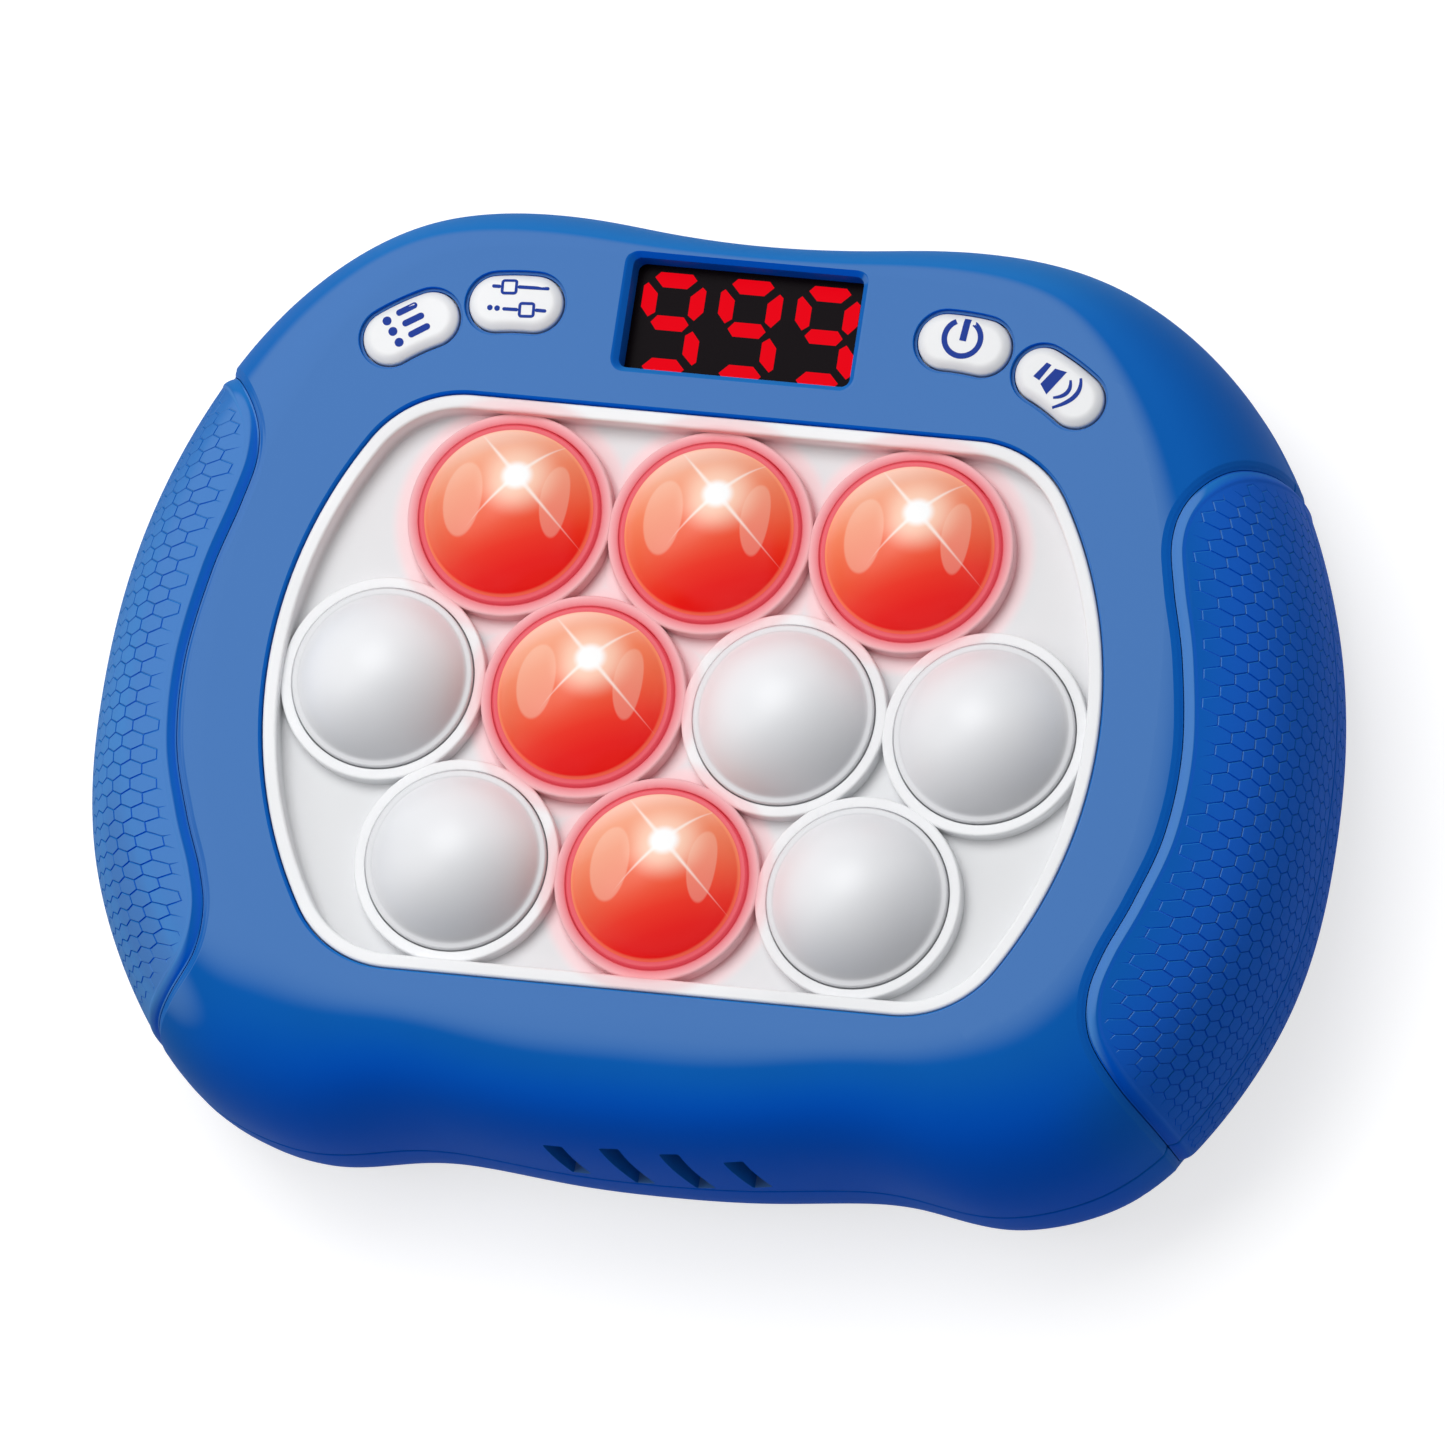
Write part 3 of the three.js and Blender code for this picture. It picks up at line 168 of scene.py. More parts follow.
# Display row
WINDOW_Y = 50.4
WINDOW_WIDTH = 34.4
WINDOW_HEIGHT = 17
WINDOW_CORNER = 1.2
WINDOW_CHAMFER = 0.9
WINDOW_MOUTH = 0.3
WINDOW_LESS = 0.5
WINDOW_RAISE = 0.35
WINDOW_COLLAR = 1.6
WINDOW_COLLAR_CORNER = 2.4
LENS_TOP = 41.6
LENS_GAP = 0.04
BUTTON_GAP = 0.2
BUTTON_WELL_WIDTH = 0.55
BUTTON_WELL_MOUTH = 0.18
BUTTON_WELL_DEPTH = 0.75
BUTTON_TOP = 46.6
BUTTON_EDGE = [(0, 1.2), (0.06, 0.92), (0.24, 0.66), (0.72, 0.28), (1.02, 0.1), (1.3, 0.02), (1.6, 0)]
OUTER_BUTTON = {"x": 46.95, "y": 45.45, "turn": 31, "length": 14.2, "half": 3.95, "sag": 0.16}
INNER_BUTTON = {"x": 32.45, "y": 50.35, "turn": 4, "length": 13.5, "half": 4.05, "sag": 0.11}
BUTTONS = [
    ("menu", OUTER_BUTTON, -1),
    ("settings", INNER_BUTTON, -1),
    ("power", INNER_BUTTON, 1),
    ("volume", OUTER_BUTTON, 1),
]

# Sound slots
SLOT_MIDDLE_X = 1.9
SLOT_PITCH = 8.7
SLOT_WIDTH = 3
SLOT_CORNER = 0.35
SLOT_HEIGHTS = (11.6, 14.6, 14.6, 11.6)
SLOT_MIDDLE_Z = 27.1
SLOT_LEAN = 9.5
SLOT_DEPTH = 17

# Back
ROOT = 0.5
BOSSES = [(58, 39.1), (74, -9.9), (44, -53.4)]
BOSS_WALL = 1
BOSS_TOP = 14
WELL_RADIUS = 2.7
WELL_DEPTH = 12
WELL_EDGE_ROUND = 0.35
SCREW_HOLE_RADIUS = 1.6
BAY_Y = 2
BAY_HALF = (26.3, 17.1)
BAY_CORNER = 0.8
BAY_WALL = 2.4
BAY_WALL_CORNER = 1.5
BAY_CEILING = 13.8
BAY_ROOF = 1.5
COVER_HALF = (27.7, 18.5)
COVER_CORNER = 1.5
COVER_EDGE_ROUND = 0.3
COVER_LOBE_Y = -21.5
COVER_LOBE_RADIUS = 5.4
COVER_THICKNESS = 1.8
COVER_BOSS_RADIUS = 3.6
COVER_BOSS_HEIGHT = 7
COVER_HOLE_RADIUS = 1.8
COVER_HOLE_TOP = 7
TONGUE_X = 16
TONGUE_WIDTH = 8
TONGUE_REACH = 7.6
TONGUE_CORNER = 0.3
TONGUE_TOP = 3.7
TONGUE_SWING = 1.1


# Camera: an even, far view that keeps the photograph's parallel look

VIEW_WIDTH = 201.6
SENSOR = 36
LENS = 1500
VIEW_RIGHT = Vector((0.96529, 0.14810, -0.21514))
VIEW_UP = Vector((-0.08958, 0.96146, 0.25995))
VIEW_BACK = Vector((0.24535, -0.23165, 0.94135))
VIEW_SHIFT = (5.447, -2.298)
VIEW_CENTRE = Vector((0, TRAY_Y, RING_PLANE)) + VIEW_SHIFT[0] * VIEW_RIGHT + VIEW_SHIFT[1] * VIEW_UP


def new_object(name, data):
    thing = bpy.data.objects.new(name, data)
    bpy.context.scene.collection.objects.link(thing)
    return thing


def make_camera():
    data = bpy.data.cameras.new("camera")
    data.sensor_width = SENSOR
    data.lens = LENS
    data.clip_start = 0.1
    data.clip_end = 20
    camera = new_object("camera", data)
    place = (VIEW_CENTRE + VIEW_BACK * (VIEW_WIDTH * LENS / SENSOR)) * MM
    axes = Matrix((VIEW_RIGHT, VIEW_UP, VIEW_BACK)).transposed()
    camera.matrix_world = Matrix.Translation(place) @ axes.normalized().to_4x4()
    bpy.context.scene.camera = camera


make_camera()


# Curves

def periodic(points):
    """Smooth closed curve through points, as a function of the point number."""
    points = np.asarray(points, float)
    count = len(points)
    matrix = 4 * np.eye(count) + np.roll(np.eye(count), 1, 0) + np.roll(np.eye(count), -1, 0)
    bend = np.linalg.solve(matrix, 6 * (np.roll(points, -1, 0) - 2 * points + np.roll(points, 1, 0)))

    def at(place):
        place = np.asarray(place, float) % count
        low = np.floor(place).astype(int) % count
        high = (low + 1) % count
        share = place - np.floor(place)
        if points.ndim == 2:
            share = share[..., None]
        rest = 1 - share
        curved = (rest ** 3 - rest) / 6 * bend[low] + (share ** 3 - share) / 6 * bend[high]
        return rest * points[low] + share * points[high] + curved

    return at


def mirrored_loop(shares):
    right = [(x * CASE_HALF_WIDTH, y * CASE_HALF_HEIGHT) for x, y in shares]
    return periodic(right + [(-x, y) for x, y in right[-2:0:-1]])


edge_at = mirrored_loop(EDGE_SHARES)
flat_at = mirrored_loop(FACE_SHARES)
power_at = periodic(SHOULDER_POWERS + SHOULDER_POWERS[-2:0:-1])
LOOP = 2 * (len(EDGE_SHARES) - 1)
TINY_TURN = 0.002


def outward_at(place):
    """Direction out of the case, in plan, at its widest outline."""
    along = edge_at(place + TINY_TURN) - edge_at(place - TINY_TURN)
    along /= np.linalg.norm(along, axis=-1, keepdims=True)
    return np.stack([-along[..., 1], along[..., 0]], -1)


def superellipse(turn, power):
    return np.maximum(np.sin(turn), 0) ** (2 / power), np.maximum(np.cos(turn), 0) ** (2 / power)


def front_skin(place, share, inset=0, side_inset=0):
    """Point of the front half: share 0 is at the edge of the flat face, 1 at the parting line."""
    side = outward_at(place)
    widest = edge_at(place) - side * (inset + side_inset * side[..., :1] ** 2)
    flat = flat_at(place) - side * (2 * side_inset * side[..., :1] ** 4)
    across, up = superellipse(share * QUARTER, power_at(place))
    plan = flat + (widest - flat) * across[..., None]
    height = FRONT_BASE + (FACE - inset - FRONT_BASE) * up
    return np.concatenate([plan, height[..., None]], -1)


def rear_skin(place, share, inset=0, side_inset=0, lift=0):
    """Point of the rear half: share 0 is at the edge of the flat back, 1 at the parting line."""
    side = outward_at(place)
    widest = edge_at(place) - side * (inset + side_inset * side[..., :1] ** 2)
    flat = edge_at(place) - side * (REAR_ROLL + inset / 2 + side_inset * side[..., :1] ** 2)
    across, up = superellipse(share * QUARTER, REAR_POWER)
    plan = flat + (widest - flat) * across[..., None]
    height = REAR_TOP + (lift - REAR_TOP) * up
    return np.concatenate([plan, height[..., None]], -1)


def normals_of(skin, place, share):
    """Outward normals of a half, from differences on its surface."""
    step = 0.004
    low, high = np.clip(share - step, 0, 1), np.clip(share + step, 0, 1)
    down = skin(place, high) - skin(place, low)
    round_it = skin(place + TINY_TURN, share) - skin(place - TINY_TURN, share)
    normal = np.cross(round_it, down)
    normal /= np.linalg.norm(normal, axis=-1, keepdims=True)
    middle = skin(place, share)
    outwards = np.concatenate([middle[..., :2], middle[..., 2:] - FRONT_BASE], -1)
    return normal * np.sign((normal * outwards).sum(-1, keepdims=True))


# Meshes

TRUE_NORMAL = "true_normal"
TRUE_TO = 0.97
ON_SKIN = 0.02
SEARCH_PLACE_STEP = 0.05
SEARCH_SHARES = 60
SEARCH_SHARE_STEP = 0.02
SEARCH_TURNS = 4
SEARCH_STEP = 0.001
MERGED_WITHIN = 2e-6
DEGENERATE_BELOW = 1e-6


def make_object(name, points, faces, true_normals=None):
    mesh = bpy.data.meshes.new(name)
    mesh.from_pydata((np.asarray(points, float) * MM).tolist(), [], [list(map(int, f)) for f in faces])
    if true_normals is not None:
        layer = mesh.attributes.new(TRUE_NORMAL, "FLOAT_VECTOR", "POINT")
        layer.data.foreach_set("vector", np.asarray(true_normals, float).ravel())
    close_up(mesh)
    return new_object(name, mesh)


def close_up(mesh):
    """Merges points that fall together and turns every face outwards."""
    shape = bmesh.new()
    shape.from_mesh(mesh)
    bmesh.ops.remove_doubles(shape, verts=shape.verts, dist=MERGED_WITHIN)
    bmesh.ops.dissolve_degenerate(shape, dist=DEGENERATE_BELOW, edges=shape.edges)
    bmesh.ops.recalc_face_normals(shape, faces=shape.faces)
    shape.to_mesh(mesh)
    shape.free()


def strips(first, second, count, closed=True):
    """Quads between two rows of points that are numbered from first and from second."""
    last = count if closed else count - 1
    return [
        (first + i, first + (i + 1) % count, second + (i + 1) % count, second + i)
        for i in range(last)
    ]


def loft(name, rings, capped=True):
    """Closed skin through rings with the same number of points; the ends are flat."""
    count = len(rings[0])
    faces = []
    for k in range(len(rings) - 1):
        faces += strips(k * count, (k + 1) * count, count)
    if capped:
        faces.append(range(count - 1, -1, -1))
        faces.append(range((len(rings) - 1) * count, len(rings) * count))
    else:
        faces += strips((len(rings) - 1) * count, 0, count)
    return make_object(name, np.concatenate(rings), faces)


def stack(name, outline, steps, capped=True):
    """Loft of one outline through (growth, height) steps."""
    return loft(name, [level(outline(grow), height) for grow, height in steps], capped)


def level(outline, height):
    outline = np.asarray(outline, float)
    return np.column_stack([outline, np.full(len(outline), float(height))])


def circle(radius, count, middle=(0, 0)):
    turn = np.arange(count) * 2 * math.pi / count
    return np.column_stack([middle[0] + radius * np.cos(turn), middle[1] + radius * np.sin(turn)])


def turned(name, profile, count, middle=(0, 0)):
    """Closed turned piece about Z. A profile of (radius, height) starts and ends on the axis."""
    inner = [p for p in profile if p[0] > 0]
    rings = [level(circle(radius, count, middle), height) for radius, height in inner]
    points = [np.array([[*middle, profile[0][1]]]), *rings, np.array([[*middle, profile[-1][1]]])]
    faces = [(0, 1 + i, 1 + (i + 1) % count) for i in range(count)]
    for k in range(len(rings) - 1):
        faces += strips(1 + k * count, 1 + (k + 1) * count, count)
    last = 1 + (len(rings) - 1) * count
    faces += [(last + count, last + (i + 1) % count, last + i) for i in range(count)]
    return make_object(name, np.concatenate(points), faces)


def quarter(radius, steps, start=0, end=QUARTER):
    """Pairs (1 - cos, sin) times the radius along a quarter round."""
    turns = np.linspace(start, end, steps + 1)
    return [(radius * (1 - math.cos(t)), radius * math.sin(t)) for t in turns]


def flare(grow, top, radius, steps):
    """(growth, height) steps up a side that opens out in a quarter round."""
    return [(grow + outwards, top - radius + up) for outwards, up in quarter(radius, steps)]


def round_over(grow, top, radius, steps):
    """(growth, height) steps up a side and over its rounded edge."""
    return [(grow - inwards, top - radius + up) for inwards, up in quarter(radius, steps)]


def joined(things):
    """One mesh object from several that lie clear of each other; they are used up."""
    shape = bmesh.new()
    for thing in things:
        shape.from_mesh(thing.data)
    shape.to_mesh(things[0].data)
    shape.free()
    for thing in things[1:]:
        bpy.data.objects.remove(thing)
    return things[0]


def combine(thing, others, operation):
    """Adds or cuts away other solids that lie clear of each other; they are used up."""
    other = joined(others)
    modifier = thing.modifiers.new(operation, "BOOLEAN")
    modifier.operation = operation
    modifier.solver = "MANIFOLD"
    modifier.object = other
    bpy.context.view_layer.update()
    graph = bpy.context.evaluated_depsgraph_get()
    mesh = bpy.data.meshes.new_from_object(thing.evaluated_get(graph))
    thing.modifiers.clear()
    thing.data = mesh
    bpy.data.objects.remove(other)
    return thing


def smooth(thing, sharp=32, weighted=True):
    """Smooth shading with sharp edges kept, where flat faces stay flat."""
    mesh = thing.data
    mesh.shade_smooth()
    mesh.set_sharp_from_angle(angle=math.radians(sharp))
    if weighted:
        modifier = thing.modifiers.new("normals", "WEIGHTED_NORMAL")
        modifier.keep_sharp = True
        modifier.weight = 90


def read(items, name, width=1, kind=float):
    """A number, or a row of numbers, from each item of a mesh."""
    values = np.empty(len(items) * width, kind)
    items.foreach_get(name, values)
    return values if width == 1 else values.reshape(-1, width)


def shade_true(thing, normals):
    """Gives the faces whose corners all have a true normal those normals; 0 stands for none."""
    mesh = thing.data
    starts = read(mesh.polygons, "loop_start", kind=int)
    totals = read(mesh.polygons, "loop_total", kind=int)
    facing = np.repeat(read(mesh.polygons, "normal", 3), totals, axis=0)
    wanted = normals[read(mesh.loops, "vertex_index", kind=int)]
    known = np.minimum.reduceat(((wanted * facing).sum(1) > TRUE_TO).astype(int), starts)
    wanted[np.repeat(known, totals) == 0] = 0
    mesh.normals_split_custom_set(wanted.tolist())


def shade_from_layer(thing):
    """Uses the true normals that the mesh was made with."""
    layer = thing.data.attributes[TRUE_NORMAL]
    normals = read(layer.data, "vector", 3)
    thing.data.attributes.remove(layer)
    shade_true(thing, normals)


def shade_from_skin(thing, skin, flat_height, flat_normal):
    """Finds the corners that lie on a skin or on its flat, and gives them its normals."""
    points = read(thing.data.vertices, "co", 3) / MM
    places, shares = np.meshgrid(
        np.arange(0, LOOP, SEARCH_PLACE_STEP), np.linspace(0, 1, SEARCH_SHARES), indexing="ij")
    places, shares = places.ravel(), shares.ravel()
    tree = KDTree(len(places))
    for i, spot in enumerate(skin(places, shares)):
        tree.insert(spot, i)
    tree.balance()
    nearest = np.array([tree.find(point)[1] for point in points])
    place, share = places[nearest], shares[nearest]
    for turn in range(SEARCH_TURNS):
        here = skin(place, share)
        over = (skin(place + SEARCH_STEP, share) - here) / SEARCH_STEP
        above = skin(place, np.clip(share - SEARCH_STEP, 0, 1))
        below = skin(place, np.clip(share + SEARCH_STEP, 0, 1))
        down = (below - above) / (2 * SEARCH_STEP)
        miss = points - here
        a, b, c = (over * over).sum(1), (over * down).sum(1), (down * down).sum(1) + NOTHING
        d, e = (over * miss).sum(1), (down * miss).sum(1)
        lead = np.maximum(a * c - b * b, NOTHING)
        place = place + np.clip((c * d - b * e) / lead, -SEARCH_PLACE_STEP, SEARCH_PLACE_STEP)
        share = share + np.clip((a * e - b * d) / lead, -SEARCH_SHARE_STEP, SEARCH_SHARE_STEP)
        share = np.clip(share, 0, 1)
    normals = normals_of(skin, place, share)
    normals[np.linalg.norm(skin(place, share) - points, axis=1) > ON_SKIN] = 0
    normals[np.abs(points[:, 2] - flat_height) < ON_SKIN] = flat_normal
    shade_true(thing, normals)


def dress(thing, material, body, slot, *replaced):
    """Gives a piece its material and body, and hides the nodes that it stands for; the slot is not
    used.
    """
    thing.data.materials.clear()
    thing.data.materials.append(material)
    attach(thing, body)
    if replaced:
        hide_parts(*replaced)


# Outlines

def tray_outline(grow, steps=40):
    """Rim of the tray: wide side arcs, corner arcs and straight ends, grown outwards."""
    half = TRAY_HALF_HEIGHT + grow
    side = TRAY_SIDE_RADIUS + grow
    corner = TRAY_CORNER_RADIUS + grow
    side_centre = TRAY_HALF_WIDTH - TRAY_SIDE_RADIUS
    corner_y = half - corner
    corner_x = side_centre + math.sqrt((side - corner) ** 2 - corner_y ** 2)
    turn = math.atan2(corner_y, corner_x - side_centre)
    arcs = [
        (side_centre, 0, side, -turn, turn),
        (corner_x, corner_y, corner, turn, QUARTER),
        (-corner_x, corner_y, corner, QUARTER, math.pi - turn),
        (-side_centre, 0, side, math.pi - turn, math.pi + turn),
        (-corner_x, -corner_y, corner, math.pi + turn, 1.5 * math.pi),
        (corner_x, -corner_y, corner, 1.5 * math.pi, 2 * math.pi - turn),
    ]
    points = []
    for x, y, radius, start, end in arcs:
        for t in np.linspace(start, end, steps)[:-1]:
            points.append((x + radius * math.cos(t), y + radius * math.sin(t) + TRAY_Y))
        if y != 0:
            points.append((x + radius * math.cos(end), y + radius * math.sin(end) + TRAY_Y))
    return np.array(points)


def bean_outline(button, side, grow, steps=24):
    """Strip of even width along a shallow arc, with round ends, set in its place."""
    radius = button["half"] + grow
    half = button["length"] / 2 - button["half"]
    spine = (half ** 2 + button["sag"] ** 2) / (2 * button["sag"])
    centre = button["sag"] / 2 - spine
    tip = QUARTER - math.asin(half / spine)
    end = np.array([spine * math.cos(tip), centre + spine * math.sin(tip)])
    points = []
    for t in np.linspace(tip, math.pi - tip, steps)[1:-1]:
        points.append(((spine + radius) * math.cos(t), centre + (spine + radius) * math.sin(t)))
    for t in np.linspace(math.pi - tip, 2 * math.pi - tip, steps):
        points.append((-end[0] + radius * math.cos(t), end[1] + radius * math.sin(t)))
    for t in np.linspace(math.pi - tip, tip, steps)[1:-1]:
        points.append(((spine - radius) * math.cos(t), centre + (spine - radius) * math.sin(t)))
    for t in np.linspace(tip - math.pi, tip, steps):
        points.append((end[0] + radius * math.cos(t), end[1] + radius * math.sin(t)))
    return button_place(button, side, np.array(points))


def button_place(button, side, points):
    """From a button's own plane, with x along its length, to the case."""
    turn = math.radians(button["turn"]) * -side
    spin = np.array([[math.cos(turn), math.sin(turn)], [-math.sin(turn), math.cos(turn)]])
    return points @ spin + np.array([side * button["x"], button["y"]])


def rounded_box(width, height, radius, middle=(0, 0), steps=8):
    points = []
    for k, (sx, sy) in enumerate([(1, 1), (-1, 1), (-1, -1), (1, -1)]):
        x = sx * (width / 2 - radius) + middle[0]
        y = sy * (height / 2 - radius) + middle[1]
        for t in np.linspace(k * QUARTER, (k + 1) * QUARTER, steps + 1):
            points.append((x + radius * math.cos(t), y + radius * math.sin(t)))
    return np.array(points)


def prism(name, outline, low, high):
    return loft(name, [level(outline, low), level(outline, high)])


# Signed distance from the grip's seam along the surface, positive on the grip

def seam_line():
    """Seam in plan: a smooth open curve through its points, carried on a little at both ends."""
    points = np.array([(x * CASE_HALF_WIDTH, y * CASE_HALF_HEIGHT) for x, y in GRIP_SEAM_SHARES])
    padded = np.vstack([2 * points[0] - points[1], points, 2 * points[-1] - points[-2]])
    line = []
    for k in range(1, len(padded) - 2):
        a, b, c, d = padded[k - 1:k + 3]
        for t in np.linspace(0, 1, SEAM_STEPS, endpoint=False):
            line.append(0.5 * (2 * b + (c - a) * t + (2 * a - 5 * b + 4 * c - d) * t ** 2
                               + (3 * b - a - 3 * c + d) * t ** 3))
    line.append(points[-1])
    line = np.array(line)
    ahead = (line[-1] - line[-2]) / np.linalg.norm(line[-1] - line[-2])
    back = (line[0] - line[1]) / np.linalg.norm(line[0] - line[1])
    return np.vstack([line[0] + SEAM_RUN_ON * back, line, line[-1] + SEAM_RUN_ON * ahead])


SEAM = seam_line()
SHARE_STEPS = 181


def plan_side(points):
    """Signed distance in plan from the seam, positive on the grip's side."""
    start, end = SEAM[:-1], SEAM[1:]
    along = end - start
    length = (along ** 2).sum(-1)
    best = np.full(points.shape[:-1], 1e9)
    sign = np.ones(points.shape[:-1])
    for k in range(len(start)):
        offset = points - start[k]
        t = np.clip((offset * along[k]).sum(-1) / length[k], 0, 1)
        gap = offset - t[..., None] * along[k]
        distance = (gap ** 2).sum(-1)
        cross = along[k][0] * offset[..., 1] - along[k][1] * offset[..., 0]
        nearer = distance < best
        best = np.where(nearer, distance, best)
        sign = np.where(nearer, np.sign(cross), sign)
    return sign * np.sqrt(best)


def slope_of(value, points):
    """How fast a value changes per mm of the surface given by a grid of points."""
    along, beside = np.gradient(points, axis=1), np.gradient(points, axis=0)
    rise, turn = np.gradient(value, axis=1), np.gradient(value, axis=0)
    aa, bb, ab = (along ** 2).sum(-1), (beside ** 2).sum(-1), (along * beside).sum(-1)
    square = rise ** 2 * bb - 2 * rise * turn * ab + turn ** 2 * aa
    return np.sqrt(np.maximum(square, 0) / np.maximum(aa * bb - ab ** 2, 1e-12))


def arc_along(points):
    """Length from the start of a line to each of its points."""
    steps = np.linalg.norm(np.diff(points, axis=-2), axis=-1)
    return np.concatenate([np.zeros((*steps.shape[:-1], 1)), np.cumsum(steps, -1)], -1)


class Ribs:
    """The right half's ribs round a grip, with the distance from the seam along each."""

    def __init__(self, skin, rear, leans=()):
        self.skin = skin
        self.rear = rear
        self.height_at_end = FRONT_BASE if not rear else REAR_TOP
        self.share = np.linspace(0, 1, SHARE_STEPS)
        self.places = rib_places(leans)
        self.lean = lean_at(self.places, leans)
        grid_place = self.places[:, None] + self.lean[:, None] * self.share
        grid_share = np.broadcast_to(self.share, grid_place.shape)
        self.points = skin(grid_place, grid_share)
        arc = arc_along(self.points)
        self.to_edge = arc[:, -1:] - arc
        plan = plan_side(self.points[..., :2])
        self.distance = plan / np.clip(slope_of(plan, self.points), LEAST_SLOPE, 1)
        if rear:
            section = skin(np.zeros(SHARE_STEPS), self.share)
            arc = arc_along(section)
            rise = arc - np.interp(GRIP_REAR_EDGE, section[:, 2], arc)
            self.distance = smooth_least(self.distance, rise, REAR_CORNER)
        self.rising = np.maximum.accumulate(self.distance, axis=1)
        height = np.abs(self.points[..., 2] - self.height_at_end)
        self.tail = np.array([np.interp(-PARTING_ROUND, -row, self.share) for row in height])

    def place_at(self, share):
        """Place on the outline that each rib has come to at a share."""
        return self.places + self.lean * share

    def crossing(self, distance):
        """Share of each rib at a distance from the seam, kept before the parting line."""
        found = []
        for row, tail in zip(self.rising, self.tail):
            spread = row + np.arange(len(row)) * NOTHING
            found.append(min(np.interp(distance, spread, self.share), tail))
        return np.array(found)

    def distance_at_tail(self):
        return np.array([
            np.interp(tail, self.share, row) for row, tail in zip(self.rising, self.tail)
        ])


def smooth_least(a, b, radius):
    """The lesser of two distances, with a round corner where they meet."""
    blend = np.clip(0.5 + 0.5 * (b - a) / radius, 0, 1)
    return b + (a - b) * blend - radius * blend * (1 - blend)


RIB_STEP = 0.035
SEAM_END_STEP = 0.008
SEAM_END_REACH = 0.28


def seam_ends():
    """Places on the outline where the seam runs out over the parting line."""
    place = np.linspace(3, 11, 4001)
    side = plan_side(edge_at(place))
    return [place[i] for i in np.flatnonzero(np.diff(np.sign(side)))]


SEAM_ENDS = seam_ends()


# Ribs lean where the seam would otherwise run along them: (middle place, reach, lean at the outer end)
FRONT_LEANS = [(4, 3.5, 1.2), (10, 4, -2)]
REAR_LEANS = [(4.5, 3.5, 0.8), (9.5, 4, -1)]


def lean_at(place, leans):
    total = np.zeros_like(place)
    for middle, reach, lean in leans:
        away = np.clip((place - middle) / reach, -1, 1)
        total += lean * (1 + np.cos(math.pi * away)) / 2
    return total


def rib_places(leans):
    """Right half of the outline, with ribs set closer where the seam runs out."""
    even = np.arange(0, LOOP / 2 + RIB_STEP / 2, RIB_STEP)
    places = list(even)
    for start in np.interp(SEAM_ENDS, even + lean_at(even, leans), even):
        places += list(np.arange(start - SEAM_END_REACH, start + SEAM_END_REACH, SEAM_END_STEP))
    places = np.unique(np.round(np.clip(places, 0, LOOP / 2), 5))
    keep = np.concatenate([[True], np.diff(places) > SEAM_END_STEP / 3])
    return places[keep]


def seam_profile(side, thickness):
    """(signed distance from the seam, depth) from the surface to the gap and down the wall."""
    nodes = SEAM_CASE if side < 0 else SEAM_GRIP
    return [(side * distance, depth) for distance, depth in nodes] + [(side * SEAM_HALF_GAP, thickness)]


def offset_points(ribs, share, depth):
    place = ribs.place_at(share)
    normal = normals_of(ribs.skin, place, share)
    return ribs.skin(place, share) - normal * np.asarray(depth)[..., None]


def tail_rings(ribs, depth, steps=3):
    """Rounded end of each rib at the parting line, down to its flat."""
    up = -1 if ribs.rear else 1
    start = offset_points(ribs, ribs.tail, depth)
    side = outward_at(ribs.place_at(1))
    rings = []
    for inwards, along in quarter(PARTING_ROUND, steps)[1:]:
        ring = start.copy()
        ring[:, :2] -= side * inwards
        ring[:, 2] = ribs.height_at_end + up * (PARTING_ROUND - along)
        rings.append(ring)
    return rings


def both_sides(rings):
    """Whole rings from the right half's: the left is its mirror image."""
    whole = []
    for ring in rings:
        left = ring[-2:0:-1] * np.array([-1, 1, 1])
        whole.append(np.concatenate([ring, left]))
    return whole


def case_rings(ribs, main_steps):
    """Outside of a shell: shoulder, rounded lip of the seam, recess under the grip, parting edge."""
    lip = seam_profile(-1, GRIP_THICKNESS + FIT)
    rings = []
    first = ribs.crossing(lip[0][0])
    for k in range(main_steps + 1):
        rings.append(offset_points(ribs, first * k / main_steps, np.zeros(len(first))))
    reached = ribs.distance_at_tail()
    distances = np.array([d for d, depth in lip])
    depths = np.array([depth for d, depth in lip])
    limit = np.interp(reached, distances[:-1], depths[:-1])
    for distance, depth in lip[1:]:
        rings.append(offset_points(
            ribs, ribs.crossing(distance), np.where(reached < distance, limit, depth)))
    last = ribs.crossing(lip[-1][0])
    end_depth = np.where(reached < lip[-1][0], limit, depths[-1])
    for k in (1, 2, 3):
        share = last + (ribs.tail - last) * k / 3
        rings.append(offset_points(ribs, share, end_depth))
    return rings + tail_rings(ribs, end_depth)


front_ribs = Ribs(front_skin, False, FRONT_LEANS)
rear_ribs = Ribs(rear_skin, True, REAR_LEANS)

SHOULDER_STEPS = 26
INNER_STEPS = 8


